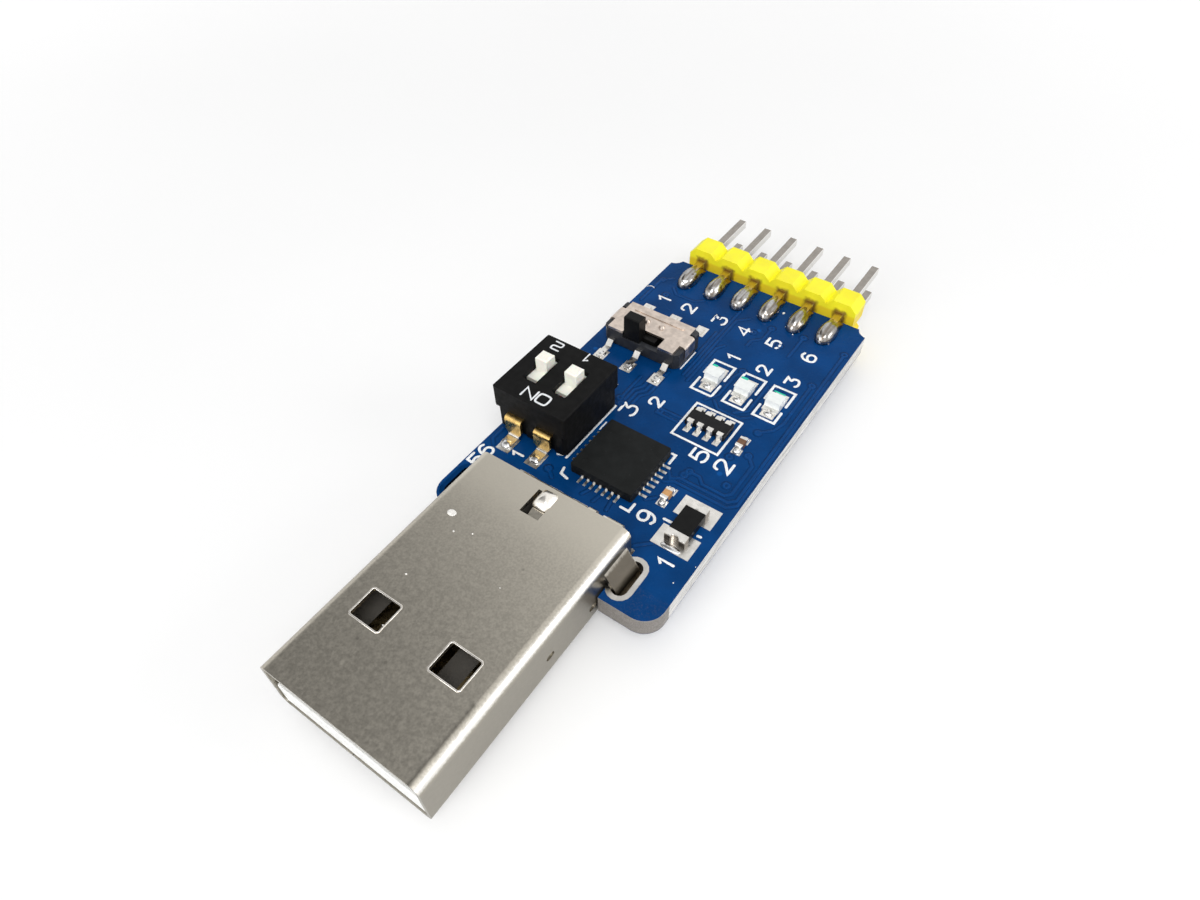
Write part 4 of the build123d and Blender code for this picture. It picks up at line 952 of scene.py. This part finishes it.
class FinishSmallParts(bpy.types.Operator):
    """Lamps, resistor array, capacitors and fuse with the solder round them"""
    bl_idname = "adapter.finish_small_parts"
    bl_label = "Small parts"

    def execute(self, context):
        metal, plastic = looks(context.scene)
        lens = Finish("milky_lens", plastic.lens, 0.04, 0.4).roughness(0.12, 0.22, 0.3).grain(0.2, 0.003)
        lens.value(Coat_Weight=0.4).on("lamp_lenses")
        ends = Finish("tinned_end", metal.tin, 0.1, 0.5).specks(shade(metal.tin, 0.55), 0.7, 0.12, 0.25)
        # Painted shade: the sides of the fuse's end caps are darker grey-brown.
        ends.patch((0.20, 0.165, 0.13), (FUSE_X, FUSE_Y, 0.34), (0.85, 1.75, 0.31), 0.03, 0.8)
        # Painted shade: two dark spots on the front face of the fuse's front end cap, either side of its
        # notch.
        for side in (-1, 1):
            ends.patch((0.035, 0.028, 0.022), (FUSE_X + 0.55 * side, 20.85, 0.3), (0.24, 0.12, 0.26), 0.06)
        ends.value(Metallic=1.0).roughness(0.24, 0.38, 0.4).grain(0.4, 0.012)
        ends.on("lamp_ends", "array_ends", "cap_ends", "fuse_ends", "pump_cap_ends")
        glaze = Finish("black_glaze", (0.010, 0.010, 0.011), 0.15, 0.4).roughness(0.25, 0.4, 0.3)
        glaze.value(Specular_IOR_Level=0.15).grain(0.1, 0.003).on("array_body")
        coat = Finish("fuse_coating", (0.007, 0.007, 0.007), 0.15, 0.5).roughness(0.3, 0.46, 0.3)
        coat.value(Specular_IOR_Level=0.12).grain(0.12, 0.004).on("fuse_body")
        brown = Finish("brown_ceramic", plastic.brown, 0.12, 0.3).roughness(0.35, 0.5, 0.2)
        brown.grain(0.08, 0.003).on("cap_brown", "pump_caps")
        tan = Finish("tan_ceramic", plastic.tan, 0.1, 0.3).roughness(0.35, 0.5, 0.2)
        tan.grain(0.08, 0.003).on("cap_tan")
        mark = Finish("lamp_mark_green", plastic.lamp_mark, 0.1, 0.3).roughness(0.4, 0.5, 0.2)
        mark.grain(0.05, 0.002)
        top = top_of("lamp_lenses")
        marks = [bead([(1.05, 36.05), (1.3, 36.05)], 0.2, 0.012, top, fullness=0.2),
                 bead([(3.5, 36.05), (3.85, 36.05)], 0.24, 0.012, top, fullness=0.2),
                 bead([(6.15, 36.08), (6.95, 36.08)], 0.14, 0.012, top, fullness=0.2)]
        add_piece("lamp_marks", marks, mark.done())
        solder = Finish("part_solder_metal", metal.solder, 0.1, 0.4)
        solder.specks((0.2, 0.17, 0.14), 0.7, 0.12, 0.22)
        solder = solder.value(Metallic=1.0).roughness(0.14, 0.26, 0.3).grain(0.35, 0.02).done()
        grids = [mound(x, y, wide, long, tall, PAD_TOP) for x, y, wide, long, tall in MOUNDS]
        add_piece("part_solder", grids, solder)
        return {"FINISHED"}


def background_share(tree):
    """1 for rays from the camera, from gloss and through glass, else 0."""
    path = tree.nodes.new("ShaderNodeLightPath").outputs
    seen = maths(tree, "ADD", path["Is Camera Ray"], path["Is Glossy Ray"])
    return maths(tree, "ADD", seen, path["Is Transmission Ray"], True)


class SetStage(bpy.types.Operator):
    """Pale floor, soft light and the camera"""
    bl_idname = "adapter.set_stage"
    bl_label = "Stage"

    def execute(self, context):
        look = context.scene.adapter_stage
        scene = context.scene
        self.lay_floor(look)
        self.light_sky(scene, look)
        self.hang_lamp("main_lamp", (0.17, -0.20, 0.42), 0.24, look.key)
        self.hang_lamp("front_lamp", (-0.05, -0.36, 0.14), 0.20, look.fill)
        self.hang_lamp("right_lamp", (0.30, 0.12, 0.11), 0.14, look.side)
        self.place_camera(scene)
        scene.view_settings.view_transform = "Standard"
        return {"FINISHED"}

    def lay_floor(self, look):
        """Flat square under the object, white to the camera but still taking its shadow."""
        mesh = bpy.data.meshes.new("floor")
        half = 1.2
        corners = [(-half, -half, 0), (half, -half, 0), (half, half, 0), (-half, half, 0)]
        mesh.from_pydata(corners, [], [(0, 1, 2, 3)])
        floor = bpy.data.objects.new("floor", mesh)
        bpy.context.scene.collection.objects.link(floor)
        paper = Finish("pale_floor", look.floor, 0.005, 30.0).value(Roughness=0.7)
        seen = paper.tree.nodes.new("ShaderNodeLightPath").outputs["Is Camera Ray"]
        distance = paper.tree.nodes.new("ShaderNodeVectorMath")
        distance.operation = "LENGTH"
        wire(paper.tree, paper.place, distance.inputs[0])
        needed = ramp(paper.tree, distance.outputs["Value"], 0.04, 0.4, 0.18, 1.0)
        lift = maths(paper.tree, "MULTIPLY", seen, needed)
        wire(paper.tree, lift, paper.shader.inputs["Emission Strength"])
        paper.value(Emission_Color=(1, 1, 1, 1))
        mesh.materials.append(paper.done())

    def light_sky(self, scene, look):
        """Even light from all round. Where it is seen it is white, but for a darker ceiling high on the
        left, as over a table with white paper."""
        world = bpy.data.worlds.new("white_sky")
        world.use_nodes = True
        scene.world = world
        tree = world.node_tree
        sky = tree.nodes["Background"]
        sky.inputs["Color"].default_value = (1, 1, 1, 1)
        towards = tree.nodes.new("ShaderNodeVectorMath")
        towards.operation = "DOT_PRODUCT"
        wire(tree, tree.nodes.new("ShaderNodeTexCoord").outputs["Generated"], towards.inputs[0])
        towards.inputs[1].default_value = (-0.55, 0.0, 0.835)
        seen = ramp(tree, towards.outputs["Value"], 0.84, 0.97, 1.0, 0.22)
        share_seen = background_share(tree)
        lit = maths(tree, "MULTIPLY", maths(tree, "SUBTRACT", 1.0, share_seen), look.sky)
        wire(tree, maths(tree, "ADD", maths(tree, "MULTIPLY", share_seen, seen), lit), sky.inputs["Strength"])

    def hang_lamp(self, name, place, size, power):
        """Square soft lamp turned to the middle of the board."""
        lamp = bpy.data.lights.new(name, "AREA")
        lamp.size = size
        lamp.energy = power
        holder = bpy.data.objects.new(name, lamp)
        bpy.context.scene.collection.objects.link(holder)
        holder.location = place
        towards = np.array([0.0, 0.0, 0.004]) - np.array(place)
        holder.rotation_euler = Vector(towards).to_track_quat("-Z", "Y").to_euler()

    def place_camera(self, scene):
        """Camera close above the plug's front right corner."""
        camera = bpy.data.cameras.new("photo_camera")
        camera.sensor_width = 36.0
        camera.lens = 24.197
        camera.clip_start = 0.002
        camera.clip_end = 5.0
        holder = bpy.data.objects.new("photo_camera", camera)
        scene.collection.objects.link(holder)
        holder.location = (0.0206337, -0.0324465, 0.0461008)
        holder.rotation_euler = Euler([math.radians(v) for v in (41.0798, 1.1481, 35.141)], "XYZ")
        scene.camera = holder


OPERATORS = [FinishBoard, LayTracks, PrintSilk, FinishPlug, SolderHeader, FinishDip, FinishModeSwitch,
             FinishChips, FinishSmallParts, SetStage]
LOOKS = [("adapter_board", BoardLook), ("adapter_metal", MetalLook), ("adapter_plastic", PlasticLook),
         ("adapter_stage", StageLook)]


class AdapterPanel(bpy.types.Panel):
    """Lists the steps and their settings"""
    bl_idname = "VIEW3D_PT_adapter_board"
    bl_label = "Adapter board"
    bl_space_type = "VIEW_3D"
    bl_region_type = "UI"
    bl_category = "Adapter board"

    def draw(self, context):
        column = self.layout.column()
        for operator in OPERATORS:
            column.operator(operator.bl_idname)
        for attribute, group in LOOKS:
            box = self.layout.box()
            for label in group.__annotations__:
                box.prop(getattr(context.scene, attribute), label)


def register():
    """Adds the settings, the steps and the panel to Blender."""
    for attribute, group in LOOKS:
        bpy.utils.register_class(group)
        setattr(bpy.types.Scene, attribute, PointerProperty(type=group))
    for item in (*OPERATORS, AdapterPanel):
        bpy.utils.register_class(item)


def unregister():
    """Takes them out again, last first."""
    for item in (AdapterPanel, *reversed(OPERATORS)):
        bpy.utils.unregister_class(item)
    for attribute, group in reversed(LOOKS):
        delattr(bpy.types.Scene, attribute)
        bpy.utils.unregister_class(group)


def main():
    """Registers the add-on and runs its steps in order."""
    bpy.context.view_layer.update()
    register()
    for operator in OPERATORS:
        group, name = operator.bl_idname.split(".")
        getattr(getattr(bpy.ops, group), name)()


if __name__ == "__main__":
    main()
